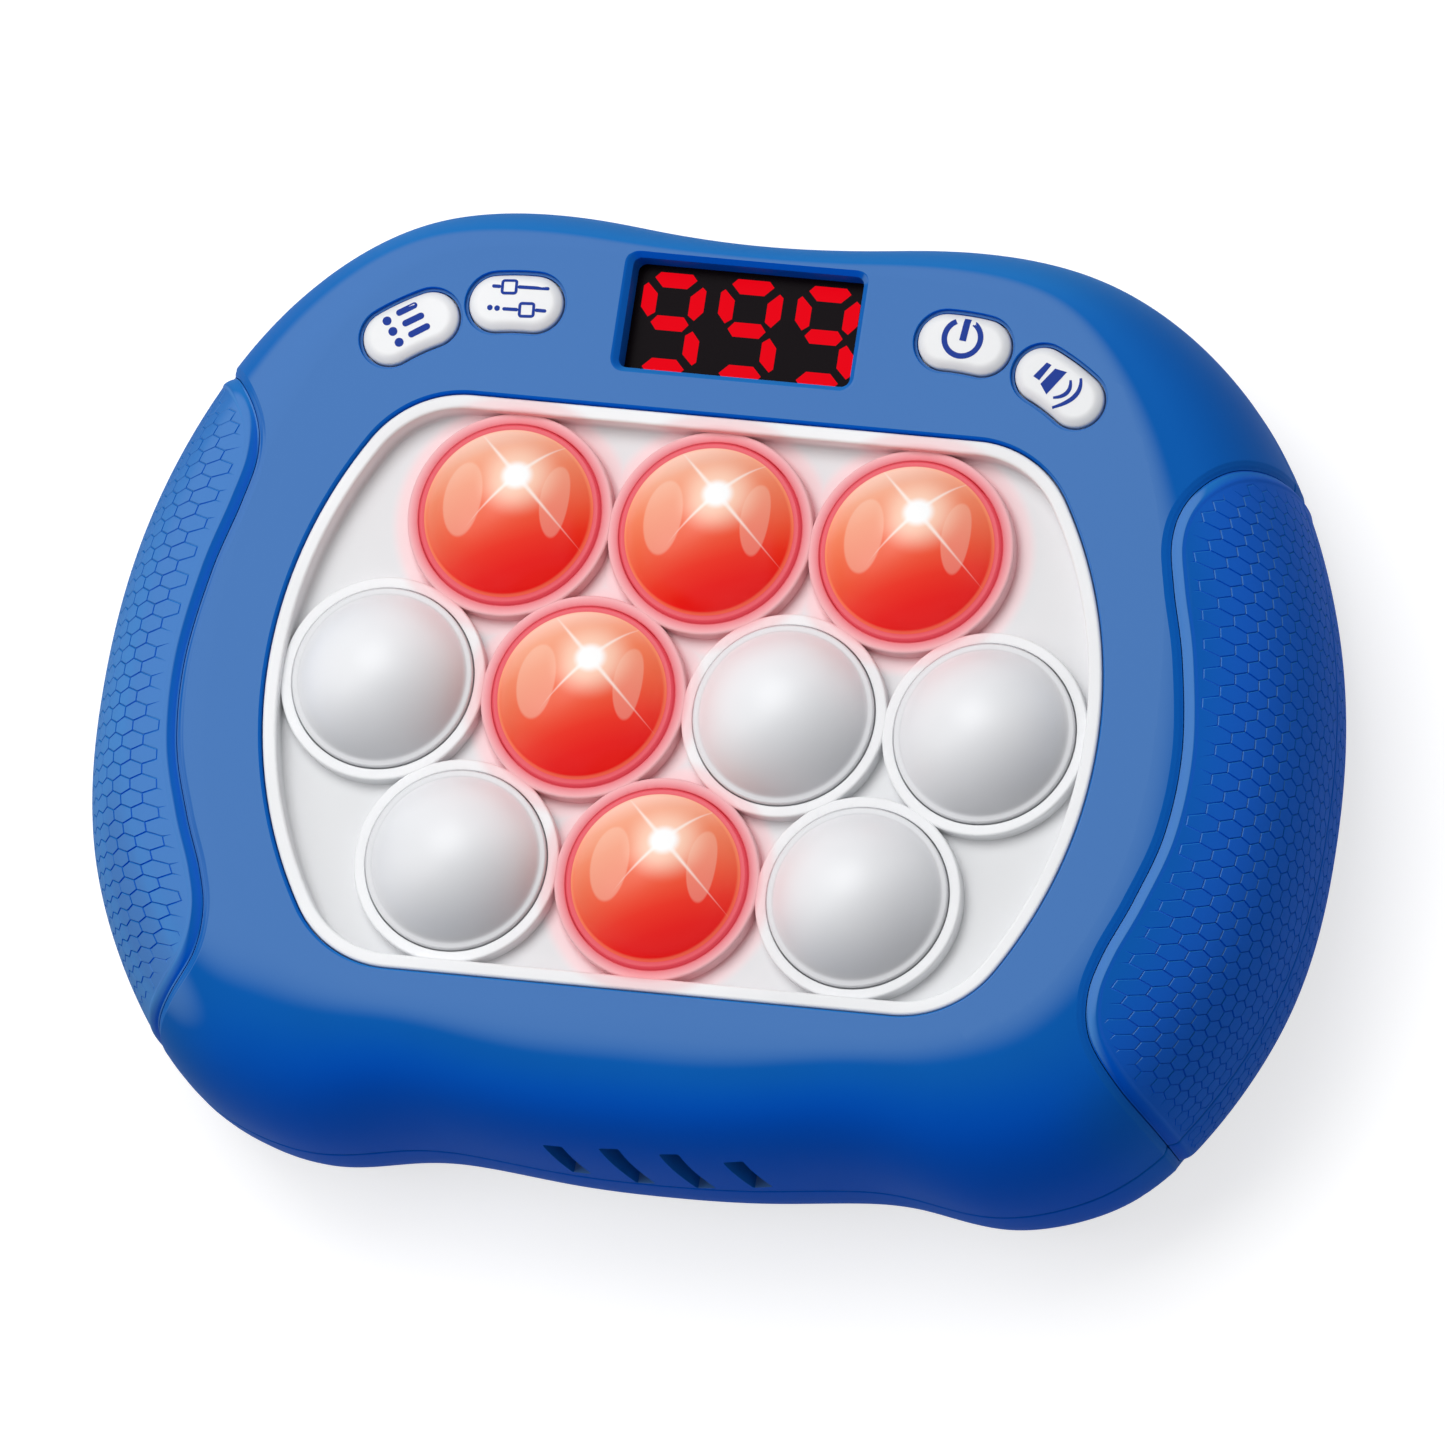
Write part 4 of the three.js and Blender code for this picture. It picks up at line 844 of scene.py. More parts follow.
def make_front_case():
    rings = case_rings(front_ribs, SHOULDER_STEPS)
    for k in range(INNER_STEPS + 1):
        share = np.full(len(front_ribs.places), 1 - k / INNER_STEPS)
        rings.append(front_skin(front_ribs.place_at(share), share, WALL, GRIP_THICKNESS))
    case = loft("case_front", both_sides(rings))
    collar = rounded_box(
        WINDOW_WIDTH + 2 * WINDOW_COLLAR, WINDOW_HEIGHT + 2 * WINDOW_COLLAR, WINDOW_COLLAR_CORNER,
        (0, WINDOW_Y))
    combine(case, [prism("collar", collar, LENS_TOP + LENS_GAP, FACE - WALL / 2)], "UNION")
    mouth = flare(FIT, FACE, TRAY_MOUTH_ROUND, 6)
    steps = [(FIT, TRAY_UNDER), *mouth, (FIT + TRAY_MOUTH_ROUND, FACE + OVERRUN)]
    cutters = [stack("tray_cut", tray_outline, steps), window_cutter()]
    outer_wells = []
    for name, button, side in BUTTONS:
        wells = cutters if button is INNER_BUTTON else outer_wells
        wells.append(button_well(name + "_cut", button, side))
    for i, height in enumerate(SLOT_HEIGHTS):
        cutters.append(slot_cutter(i, height))
    combine(case, cutters, "DIFFERENCE")
    combine(case, outer_wells, "DIFFERENCE")
    smooth(case, weighted=False)
    shade_from_skin(case, front_skin, FACE, (0, 0, 1))
    return case


def window_cutter():
    """Cutter for the display window: straight walls, a chamfer and a rounded mouth."""
    def outline(grow):
        grow -= WINDOW_LESS
        return rounded_box(
            WINDOW_WIDTH + 2 * grow, WINDOW_HEIGHT + 2 * grow, WINDOW_CORNER + WINDOW_LESS + grow,
            (0, WINDOW_Y + WINDOW_RAISE))

    start, drop = WINDOW_CHAMFER - WINDOW_MOUTH, WINDOW_MOUTH * 0.8
    steps = [(0, TRAY_UNDER), (0, FACE - WINDOW_CHAMFER)]
    for k in range(4):
        steps.append((start + WINDOW_MOUTH * 1.5 * k / 3, FACE - drop * (1 - k / 3) ** 2))
    steps.append((WINDOW_CHAMFER + WINDOW_MOUTH / 2, FACE + OVERRUN))
    return stack("window_cut", outline, steps)


def button_well(name, button, side):
    """Cutter for a button: a close hole in the floor of a shallow well with a rounded mouth."""
    floor = FACE - BUTTON_WELL_DEPTH
    steps = [(BUTTON_GAP, TRAY_UNDER), (BUTTON_GAP, floor), (BUTTON_WELL_WIDTH, floor)]
    steps += flare(BUTTON_WELL_WIDTH, FACE, BUTTON_WELL_MOUTH, 5)
    steps.append((BUTTON_WELL_WIDTH + BUTTON_WELL_MOUTH, FACE + OVERRUN))
    return stack(name, lambda grow: bean_outline(button, side, grow), steps)


def slot_cutter(index, height):
    x = SLOT_MIDDLE_X + (index - (len(SLOT_HEIGHTS) - 1) / 2) * SLOT_PITCH
    across, up = rounded_box(SLOT_WIDTH, height, SLOT_CORNER, steps=3).T
    lean = math.radians(SLOT_LEAN)
    rings = [np.column_stack([
        x + across * math.cos(lean) - up * math.sin(lean),
        np.full(len(up), y - CASE_HALF_HEIGHT),
        SLOT_MIDDLE_Z + across * math.sin(lean) + up * math.cos(lean),
    ]) for y in (-SLOT_DEPTH / 2, SLOT_DEPTH / 2)]
    return loft("slot_cut", rings)


def cover_outline(grow):
    w, h = COVER_HALF[0] + grow, COVER_HALF[1] + grow
    radius = COVER_LOBE_RADIUS + grow
    corner = COVER_CORNER + grow
    points = []
    for sx, sy, k in ((1, 1, 0), (-1, 1, 1), (-1, -1, 2)):
        for t in np.linspace(k * QUARTER, (k + 1) * QUARTER, 7):
            points.append((sx * (w - corner) + corner * math.cos(t),
                           BAY_Y + sy * (h - corner) + corner * math.sin(t)))
    points.append((-radius, BAY_Y - h))
    for t in np.linspace(math.pi, 2 * math.pi, 33):
        points.append((radius * math.cos(t), COVER_LOBE_Y + radius * math.sin(t)))
    points.append((radius, BAY_Y - h))
    for t in np.linspace(3 * QUARTER, 4 * QUARTER, 7):
        points.append((w - corner + corner * math.cos(t), BAY_Y - h + corner + corner * math.sin(t)))
    return np.array(points)


def flared(name, outline, depth, round_edge):
    """Cutter for a hollow in the flat back, with a rounded edge."""
    edge = [(outwards, round_edge - up) for outwards, up in reversed(quarter(round_edge, 3))]
    return stack(name, outline, [(round_edge, -OVERRUN), *edge, (0, depth)])


def make_rear_case():
    rings = case_rings(rear_ribs, SHOULDER_STEPS // 2)
    side = outward_at(rear_ribs.place_at(1))
    edge = edge_at(rear_ribs.place_at(1))

    def lip_ring(extra, height):
        inset = WALL + 2 * FIT + extra + GRIP_THICKNESS * side[:, :1] ** 2
        return level(edge - side * inset, height)

    rings.append(lip_ring(0, REAR_TOP))
    rings.append(lip_ring(0, REAR_TOP + FIT / 2 + LIP_HEIGHT))
    rings.append(lip_ring(LIP_THICKNESS, REAR_TOP + FIT / 2 + LIP_HEIGHT))
    rings.append(lip_ring(LIP_THICKNESS, REAR_TOP - LIP_HEIGHT))
    for k in range(INNER_STEPS + 1):
        share = np.full(len(rear_ribs.places), 1 - k / INNER_STEPS)
        ring = rear_skin(rear_ribs.place_at(share), share, WALL, GRIP_THICKNESS, REAR_WALL)
        ring[:, 2] = np.minimum(ring[:, 2], REAR_TOP - LIP_HEIGHT - LIP_FOOT)
        rings.append(ring)
    case = loft("case_rear", both_sides(rings))
    screws = [(sx * bx, by) for bx, by in BOSSES for sx in (-1, 1)]
    lobe = (0, COVER_LOBE_Y)
    boss = WELL_RADIUS + BOSS_WALL
    added = [prism("boss", circle(boss, 40, spot), ROOT, BOSS_TOP) for spot in screws]
    bay = rounded_box(
        2 * (BAY_HALF[0] + BAY_WALL), 2 * (BAY_HALF[1] + BAY_WALL), BAY_WALL_CORNER, (0, BAY_Y))
    added.append(prism("bay", bay, ROOT, BAY_CEILING + BAY_ROOF))
    combine(case, added, "UNION")
    cover_boss = circle(COVER_BOSS_RADIUS, 32, lobe)
    combine(case, [prism("cover_boss", cover_boss, ROOT, REAR_WALL + COVER_BOSS_HEIGHT)], "UNION")
    inside = rounded_box(2 * BAY_HALF[0], 2 * BAY_HALF[1], BAY_CORNER, (0, BAY_Y))
    wells = [
        flared("well", lambda g, p=spot: circle(WELL_RADIUS + g, 40, p), WELL_DEPTH, WELL_EDGE_ROUND)
        for spot in screws
    ]
    combine(case, [*wells, prism("bay_inside", inside, -OVERRUN, BAY_CEILING)], "DIFFERENCE")
    holes = [
        prism("hole", circle(SCREW_HOLE_RADIUS, 24, spot), OVERRUN, BOSS_TOP + OVERRUN)
        for spot in screws
    ]
    seat = flared("seat", lambda g: cover_outline(FIT + g), COVER_THICKNESS + FIT, COVER_EDGE_ROUND)
    combine(case, [*holes, seat], "DIFFERENCE")
    slots = [prism("cover_hole", circle(COVER_HOLE_RADIUS, 24, lobe), 0, COVER_HOLE_TOP)]
    for x in (-TONGUE_X, TONGUE_X):
        middle = (x, BAY_Y + COVER_HALF[1])
        box = rounded_box(TONGUE_WIDTH + 2 * FIT, TONGUE_REACH, TONGUE_CORNER, middle)
        slots.append(prism("tongue_slot", box, COVER_THICKNESS, TONGUE_TOP + TONGUE_SWING))
    combine(case, slots, "DIFFERENCE")
    smooth(case, weighted=False)
    shade_from_skin(case, rear_skin, 0, (0, 0, -1))
    return case


# Grips

def make_grip(name, ribs, side):
    """Grip skin over its recess, with the honeycomb moulded into its outside."""
    reached = ribs.distance_at_tail()
    inside = np.flatnonzero(reached > SEAM_HALF_GAP)
    start, stop = inside[0], inside[-1] + 1
    count = stop - start
    lip = seam_profile(1, GRIP_THICKNESS)
    distances = np.array([d for d, depth in lip])[:-1][::-1]
    depths = np.array([depth for d, depth in lip])[:-1][::-1]
    limit = np.interp(reached, distances, depths)

    def row(share, depth):
        return offset_points(ribs, share, depth)[start:stop]

    # Round each rib: up the wall, over the bead, and after the textured field round the parting edge
    rows = [row(ribs.crossing(lip[-1][0]), np.full(len(reached), GRIP_THICKNESS))]
    for distance, depth in reversed(lip[:-1]):
        rows.append(row(ribs.crossing(distance), np.where(reached < distance, limit, depth)))
    rim_row = len(rows) - 1
    end_depth = np.where(reached < distances[-1], limit, 0)
    rows.append(row(ribs.tail, end_depth))
    for ring in tail_rings(ribs, end_depth):
        rows.append(ring[start:stop])
    bottom = rows[-1].copy()
    towards = outward_at(ribs.place_at(1))[start:stop]
    bottom[:, :2] -= towards * (GRIP_THICKNESS - PARTING_ROUND)
    rows.append(bottom)
    first = ribs.crossing(lip[-1][0])
    for k in (3, 2, 1):
        rows.append(row(first + (ribs.tail - first) * k / 4, np.full(len(reached), GRIP_THICKNESS)))

    faces = []
    for k in range(len(rows)):
        if k != rim_row:
            faces += strips(k * count, ((k + 1) % len(rows)) * count, count, closed=False)
    faces.append([k * count for k in range(len(rows))])
    faces.append([k * count + count - 1 for k in range(len(rows))][::-1])
    normals = [np.zeros((len(rows) * count, 3))]
    chart = Chart(Ribs(ribs.skin, ribs.rear))
    rims = []
    for k, share in ((rim_row, ribs.crossing(lip[0][0])), (rim_row + 1, ribs.tail)):
        place = ribs.place_at(share)
        normals[0][k * count:(k + 1) * count] = normals_of(ribs.skin, place, share)[start:stop]
        rims.append(chart.plane(place, share)[start:stop])
    field_open = np.flatnonzero((ribs.crossing(lip[0][0]) < ribs.tail - 1e-4)[start:stop])
    points, true, field_faces = honeycomb_field(
        chart, rims, (field_open[0] - 1, field_open[-1] + 1), rim_row * count, len(rows) * count)
    mirror = np.array([side, 1, 1])
    points = np.concatenate(rows + [points]) * mirror
    grip = make_object(name, points, faces + field_faces, np.concatenate(normals + [true]) * mirror)
    smooth(grip, sharp=GROOVE_SHARP, weighted=False)
    shade_from_layer(grip)
    return grip


def honeycomb_field(chart, rims, ends, low_row, first_new):
    """Field between the bead and the parting edge, cut into cells with grooves between them."""
    low, high = rims
    a, b = ends
    there, back = np.arange(a, b + 1), np.arange(b - 1, a, -1)
    rim = np.concatenate([low[there], high[back]])
    numbers = [*(low_row + there), *(low_row + len(low) + back)]
    spots, depths, lines = honeycomb_lines(chart)
    edges = [(i, (i + 1) % len(rim)) for i in range(len(rim))]
    edges += [(len(rim) + i, len(rim) + j) for i, j in lines]
    numbers += [first_new + i for i in range(len(spots))]
    plane = [Vector(p) for p in np.concatenate([rim, spots])]
    found = delaunay_2d_cdt(plane, edges, [], 1, 1e-5)
    corners, triangles, origins = np.array([tuple(p) for p in found[0]]), found[2], found[3]
    extra = [i for i, origin in enumerate(origins) if not origin]
    number_of = [numbers[origin[0]] if origin else -1 for origin in origins]
    for k, i in enumerate(extra):
        number_of[i] = first_new + len(spots) + k
    if extra:
        spots = np.concatenate([spots, corners[extra]])
        depths = np.concatenate([depths, np.zeros(len(extra))])
    triangles = np.array([list(t) for t in triangles])
    triangles = triangles[inside_polygon(corners[triangles].mean(1), rim)]
    faces = [[number_of[i] for i in triangle] for triangle in triangles]
    rib, share = chart.back(spots)
    place = np.interp(rib, chart.numbers, chart.places)
    true = normals_of(chart.skin, place, share)
    points = chart.skin(place, share) - true * depths[:, None]
    true[depths > 0] = 0
    return points, true, faces


def honeycomb_lines(chart):
    """Points of the chart with their depths, and the lines between them.

    Each groove has a line along its bottom and one along each rim. Where a groove runs out of the
    field its three lines meet in a point on the surface.
    """
    places, links, centres = lattice(chart)
    amount = chart.strength(places)
    neighbours = {i: [] for i in np.flatnonzero(amount > 0)}
    for i, j in links:
        if amount[i] > 0 and amount[j] > 0:
            neighbours[i].append(j)
            neighbours[j].append(i)
    open_ends = [(i, j) for i, j in links + [(j, i) for i, j in links] if amount[i] > 0 >= amount[j]]
    ends = []
    for (i, j), reach in zip(open_ends, reaches(chart, places, open_ends)):
        if reach > SHORTEST_END:
            neighbours[i].append(len(places) + len(ends))
            ends.append(places[i] + (places[j] - places[i]) * reach)
    everywhere = np.concatenate([places, ends])
    spots, depths, number = [], [], {}
    left, right = {}, {}
    for i, near in neighbours.items():
        turn = {j: math.atan2(*(everywhere[j] - everywhere[i])[::-1]) for j in near}
        near.sort(key=turn.get)
        number[i] = len(spots)
        spots.append(everywhere[i])
        depths.append(GROOVE_DEPTH * amount[i] if len(near) > 1 else 0)
        for j, after in zip(near, near[1:] + near[:1]):
            if len(near) == 1:
                left[i, j] = right[i, j] = number[i]
                continue
            between = (turn[after] - turn[j]) % (2 * math.pi)
            middle = turn[j] + between / 2
            reach = GROOVE_HALF / math.sin(between / 2)
            left[i, j] = right[i, after] = len(spots)
            spots.append(everywhere[i] + reach * np.array([math.cos(middle), math.sin(middle)]))
            depths.append(0)
    for k in range(len(ends)):
        number[len(places) + k] = len(spots)
        spots.append(ends[k])
        depths.append(0)
    lines = set()
    for i, near in neighbours.items():
        for j in near:
            here, there = number[i], number[j]
            lines.add((min(here, there), max(here, there)))
            for rim, far_rim in ((left, right), (right, left)):
                a, b = rim[i, j], far_rim.get((j, i), there)
                if a != b:
                    lines.add((min(a, b), max(a, b)))
    inner = centres[chart.strength(centres) > 0]
    return np.concatenate([spots, inner]), np.array(depths + [0] * len(inner)), sorted(lines)


def lattice(chart):
    """Corners of the honeycomb, its sides as pairs of corners, and the middles of its cells."""
    across, along = (0, 1, 1, 0, -1, -1), (2, 1, -1, -2, -1, 1)
    corners, links, middles = {}, set(), []
    columns = range(-int(CELL_STRETCH_FROM / CELL_WIDTH) - 1, int(chart.top / CELL_WIDTH) + 1)
    for row in LATTICE_ROWS:
        for column in columns:
            middle = (2 * column + row % 2, -3 * row)
            middles.append(middle)
            ring = [(middle[0] + across[k], middle[1] + along[k]) for k in range(6)]
            cell = [corners.setdefault(key, len(corners)) for key in ring]
            links |= {tuple(sorted((cell[k - 1], cell[k]))) for k in range(6)}
    return lattice_place(np.array(list(corners))), sorted(links), lattice_place(np.array(middles))


def lattice_place(keys):
    """Chart points of lattice keys: half cells up the rib, thirds of a row along the outline.

    Above CELL_STRETCH_FROM the cells grow wider with the square of the distance from there.
    """
    up = keys[:, 0] * CELL_WIDTH / 2
    room = np.clip(1 - 4 * CELL_STRETCH * np.maximum(up, 0), 0, 1)
    grown = (1 - np.sqrt(room)) / (2 * CELL_STRETCH)
    far = np.where(room > 0, grown, 2 * FACE)
    return np.column_stack([
        CELL_PHASE_Y + keys[:, 1] * CELL_ROW / 3,
        CELL_STRETCH_FROM + np.where(up > 0, far, up),
    ])


def reaches(chart, places, open_ends, steps=20):
    """Share of each side that lies in the field before it first leaves it."""
    start = places[[i for i, j in open_ends]]
    span = places[[j for i, j in open_ends]] - start
    reach = np.zeros(len(open_ends))
    going = np.ones(len(open_ends), bool)
    for k in range(1, steps + 1):
        going &= chart.strength(start + span * k / steps) > 0
        reach[going] = k / steps
    return reach


def inside_polygon(points, polygon):
    first, second = polygon, np.roll(polygon, -1, 0)
    inside = np.zeros(len(points), bool)
    for (ax, ay), (bx, by) in zip(first, second):
        if ay != by:
            crosses = (ay > points[:, 1]) != (by > points[:, 1])
            inside ^= crosses & (points[:, 0] < (bx - ax) * (points[:, 1] - ay) / (by - ay) + ax)
    return inside


class Chart:
    """Flat chart of a grip: along the outline in mm (as y), and up from the parting line in mm."""

    LEVELS = 120
    ANCHOR_Y = -7.5
    PLACES = (3, 11)

    def __init__(self, ribs):
        used = (ribs.places >= self.PLACES[0]) & (ribs.places <= self.PLACES[1])
        self.skin = ribs.skin
        self.places = ribs.places[used]
        self.distance = ribs.distance[used]
        self.to_edge = ribs.to_edge[used]
        self.numbers = np.arange(len(self.places), dtype=float)
        self.top = self.to_edge[:, 0].max()
        self.step = self.top / (self.LEVELS - 1)
        self.shares = np.empty((len(self.places), self.LEVELS))
        self.along = np.empty((len(self.places), self.LEVELS))
        for k in range(self.LEVELS):
            self.shares[:, k] = [np.interp(-k * self.step, -row, ribs.share) for row in self.to_edge]
            line = ribs.skin(self.places, self.shares[:, k])
            arc = arc_along(line)
            anchor = np.interp(-self.ANCHOR_Y, -line[:, 1], arc)
            self.along[:, k] = self.ANCHOR_Y - (arc - anchor)

    def look_up(self, table, rib, column):
        """Values between the entries of a table with a row for each rib."""
        left = np.clip(rib.astype(int), 0, table.shape[0] - 2)
        low = np.clip(column.astype(int), 0, table.shape[1] - 2)
        part = np.clip(column - low, 0, 1)
        rows = [table[left + i, low] * (1 - part) + table[left + i, low + 1] * part for i in (0, 1)]
        return rows[0] + (rows[1] - rows[0]) * (rib - left)

    def plane(self, place, share):
        """Chart points of places and shares."""
        rib = np.interp(place, self.places, self.numbers)
        up = self.look_up(self.to_edge, rib, share * (SHARE_STEPS - 1))
        return np.column_stack([self.look_up(self.along, rib, up / self.step), up])

    def back(self, spots):
        """Rib numbers and shares at points of the chart."""
        level_number = np.clip(spots[:, 1] / self.step, 0, self.LEVELS - 1)
        low = np.minimum(level_number.astype(int), self.LEVELS - 2)
        rib = np.empty(len(spots))
        for k in np.unique(low):
            here = low == k
            ends = [np.interp(-spots[here, 0], -self.along[:, j], self.numbers) for j in (k, k + 1)]
            rib[here] = ends[0] + (ends[1] - ends[0]) * (level_number[here] - k)
        return rib, self.look_up(self.shares, rib, level_number)

    def strength(self, spots):
        """Depth of the pattern: full in the field, less towards the seam, below 0 outside."""
        rib, share = self.back(spots)
        distance = self.look_up(self.distance, rib, share * (SHARE_STEPS - 1))
        inside = (distance > CELL_MARGIN) & (spots[:, 1] > CELL_FOOT) & (spots[:, 1] < self.top)
        inside &= (rib > 0) & (rib < len(self.places) - 1)
        fade = np.clip((distance - CELL_MARGIN) / CELL_FADE, 0, 1)
        return np.where(inside, CELL_LEAST + (1 - CELL_LEAST) * fade, -1)


# Materials

def srgb(text):
    """Linear colour from a six-figure hex colour."""
    values = [int(text[i:i + 2], 16) / 255 for i in (0, 2, 4)]
    linear = [v / 12.92 if v <= 0.04045 else ((v + 0.055) / 1.055) ** 2.4 for v in values]
    return (*linear, 1)


class Nodes:
    """Node tree of a material or a world, with short ways to add nodes and links."""

    def __init__(self, owner):
        owner.use_nodes = True
        self.nodes = owner.node_tree.nodes
        self.links = owner.node_tree.links

    def fill(self, node, inputs):
        """Sets inputs of a node to values, or links them to outputs of other nodes."""
        for key, value in inputs.items():
            if isinstance(value, bpy.types.NodeSocket):
                self.links.new(value, node.inputs[key])
            else:
                node.inputs[key].default_value = value
        return node

    def add(self, kind, inputs, **settings):
        node = self.nodes.new(kind)
        for key, value in settings.items():
            setattr(node, key, value)
        return self.fill(node, inputs)

    def calculate(self, operation, *values):
        return self.add("ShaderNodeMath", dict(enumerate(values)), operation=operation).outputs[0]


CLOUD_SCALE = 38
GRAIN_SCALE = 2200
GRAIN_DEPTH = 0.0001
UNEVEN_COLOUR = 0.04
UNEVEN_GLOSS = 0.1


def plastic(name, colour, roughness, bump=0.03, specular=0.5, tint=(1, 1, 1), metal=0, emission=None):
    """Moulded surface: slight unevenness of colour and gloss, and fine grain."""
    made = bpy.data.materials.new(name)
    tree = Nodes(made)
    shader = tree.nodes["Principled BSDF"]
    place = tree.add("ShaderNodeTexCoord", {}).outputs["Object"]
    cloud = tree.add("ShaderNodeTexNoise", {"Vector": place, "Scale": CLOUD_SCALE, "Detail": 3})
    cloud = cloud.outputs["Fac"]
    shades = tree.add("ShaderNodeValToRGB", {"Fac": cloud})
    stops = zip(shades.color_ramp.elements, (1 - UNEVEN_COLOUR, 1 + UNEVEN_COLOUR), (0.35, 0.65))
    for stop, factor, position in stops:
        stop.color = (*[min(c * factor, 1) for c in srgb(colour)[:3]], 1)
        stop.position = position
    gloss = tree.add("ShaderNodeMapRange", {
        "Value": cloud,
        "To Min": roughness * (1 - UNEVEN_GLOSS),
        "To Max": roughness * (1 + UNEVEN_GLOSS),
    })
    grain = tree.add("ShaderNodeTexNoise", {"Vector": place, "Scale": GRAIN_SCALE, "Detail": 2})
    relief = {"Strength": bump, "Distance": GRAIN_DEPTH, "Height": grain.outputs["Fac"]}
    tree.fill(shader, {
        "Base Color": shades.outputs["Color"],
        "Metallic": metal,
        "Roughness": gloss.outputs["Result"],
        "Specular IOR Level": specular,
        "Specular Tint": (*tint, 1),
        "Normal": tree.add("ShaderNodeBump", relief).outputs["Normal"],
    })
    if emission:
        tree.fill(shader, {"Emission Color": srgb(emission), "Emission Strength": 1})
    return made


class Painter(Nodes):
    """Adds painted colours, laid out in mm, over the plain colour of a material."""

    def __init__(self, material):
        super().__init__(material)
        self.base = self.nodes["Principled BSDF"].inputs["Base Color"]
        self.colour = self.base.links[0].from_socket

    def along(self, place, direction):
        """How far a place lies along a direction."""
        inputs = {0: place, 1: direction}
        return self.add("ShaderNodeVectorMath", inputs, operation="DOT_PRODUCT").outputs["Value"]

    def facing(self, direction):
        """How squarely the surface faces a direction: 1 full on, 0 edge on."""
        normal = self.add("ShaderNodeTexCoord", {}).outputs["Normal"]
        return self.along(normal, tuple(Vector(direction).normalized()))

    def distance(self, place, spot, stretch=(1, 1)):
        """Distance in plan from a spot, with each axis divided by its stretch."""
        shrink = {0: place, 1: (1 / stretch[0], 1 / stretch[1], 0)}
        flat = self.add("ShaderNodeVectorMath", shrink, operation="MULTIPLY").outputs[0]
        inputs = {0: flat, 1: (spot[0] / stretch[0], spot[1] / stretch[1], 0)}
        return self.add("ShaderNodeVectorMath", inputs, operation="DISTANCE").outputs["Value"]

    def ramp(self, value, low, high, stops):
        """Colours along a value, as (value, hex colour) from low to high."""
        share = self.add("ShaderNodeMapRange", {"Value": value, "From Min": low, "From Max": high})
        node = self.add("ShaderNodeValToRGB", {"Fac": share.outputs["Result"]})
        line = node.color_ramp
        while len(line.elements) < len(stops):
            line.elements.new(0.5)
        for k, (at, colour) in enumerate(stops):
            line.elements[k].position = (at - low) / (high - low)
            line.elements[k].color = srgb(colour)
        return node.outputs["Color"]

    def blend(self, factor, colour):
        """Lays a colour over the rest, by a factor."""
        colour = srgb(colour) if isinstance(colour, str) else colour
        mix = self.add("ShaderNodeMix", {0: factor, 6: self.colour, 7: colour}, data_type="RGBA")
        self.colour = mix.outputs[2]
        self.links.new(self.colour, self.base)

    def cover(self, colour, value, start, end, amount=1):
        """Lays a colour over the rest: nothing at one value, the given amount at the other."""
        inputs = {"Value": value, "From Min": start, "From Max": end, "To Max": amount}
        factor = self.add("ShaderNodeMapRange", inputs, interpolation_type="SMOOTHSTEP")
        self.blend(factor.outputs["Result"], colour)


case_blue = plastic("case_blue", "0C5AAE", 0.6, bump=0.05, specular=0.03, tint=(0.3, 0.8, 1))
grip_blue = plastic("grip_blue", "0C58AA", 0.6, bump=0.05, specular=0.03, tint=(0.3, 0.8, 1))
tray_white = plastic("tray_white", "EBECEE", 0.5, specular=0.3)
bubble_white = plastic("bubble_white", "E8E9EC", 0.38, specular=0.4)
bubble_red = plastic("bubble_red", "EE3F25", 0.35, specular=0.3)
button_white = plastic("button_white", "E8E9EB", 0.4, specular=0.3)
icon_blue = plastic("icon_blue", "1C3A94", 0.6, specular=0.1)
boot_grey = plastic("boot_grey", "B9BCC0", 0.7)
window_black = plastic("window_black", "0C0509", 0.3, specular=0.02)
digit_red = plastic("digit_red", "2A0206", 0.6, specular=0.02, emission="E60012")
module_black = plastic("module_black", "1B1B1D", 0.5)
board_green = plastic("board_green", "1C6B3A", 0.45)
speaker_black = plastic("speaker_black", "222326", 0.6)
contact_plated = plastic("contact_plated", "B8BABD", 0.28, metal=1)
screw_steel = plastic("screw_steel", "A9ABAE", 0.32, metal=1)
cell_sleeve = plastic("cell_sleeve", "3A3D42", 0.35)
lead_red = plastic("lead_red", "B3261E", 0.5)
lead_black = plastic("lead_black", "1A1A1A", 0.5)


def paint_blue_sheen_and_shade(material, left, left_side, right, face):
    """Painted light and shade on the plastic by the way its surface faces: painted sheen, pale on the
    face, and painted shade, deep blue, on the low sides.
    """
    paint = Painter(material)
    # Painted shade: deep blue where the surface faces down
    paint.cover("0054CA", paint.facing((0.3, -0.85, 0.3)), 0.45, 1)
    # Painted light where the surface faces up
    paint.cover("2474C0", paint.facing((0, 0.95, 0.3)), 0.3, 0.9)
    # Painted shade where the surface faces right
    paint.cover(right, paint.facing((1, 0.1, 0.35)), 0.35, 0.95)
    # Painted light where the surface faces left
    paint.cover(left, paint.facing(left_side), 0.6, 0.97)
    # Painted highlight low on the left shoulder
    paint.cover("4A7ABC", paint.facing((-0.6, -0.34, 0.72)), 0.945, 0.992, 0.85)
    # Painted sheen on the face
    paint.cover(face, paint.facing((-0.25, 0.2, 0.95)), 0.885, 0.952)


# Painted light and shade colours for the case and the grips: lit left side and its direction, shaded
# right side, and sheen on the face
paint_blue_sheen_and_shade(case_blue, "1C68B8", (-1, 0.1, 0.25), "1060BC", "4C7ABA")
paint_blue_sheen_and_shade(grip_blue, "4A86CA", (-0.68, -0.36, 0.64), "1C60CC", "4C80C4")
dress(make_front_case(), case_blue, "root", "case_blue", "front_shell")
dress(make_rear_case(), case_blue, "root", "case_blue", "rear_shell")
for hand, side in (("left", -1), ("right", 1)):
    for half, ribs in (("front", front_ribs), ("rear", rear_ribs)):
        node = f"{hand}_grip_{half}"
        dress(make_grip(node + "_skin", ribs, side), grip_blue, "root", "grip_blue", node)


# Tray panel

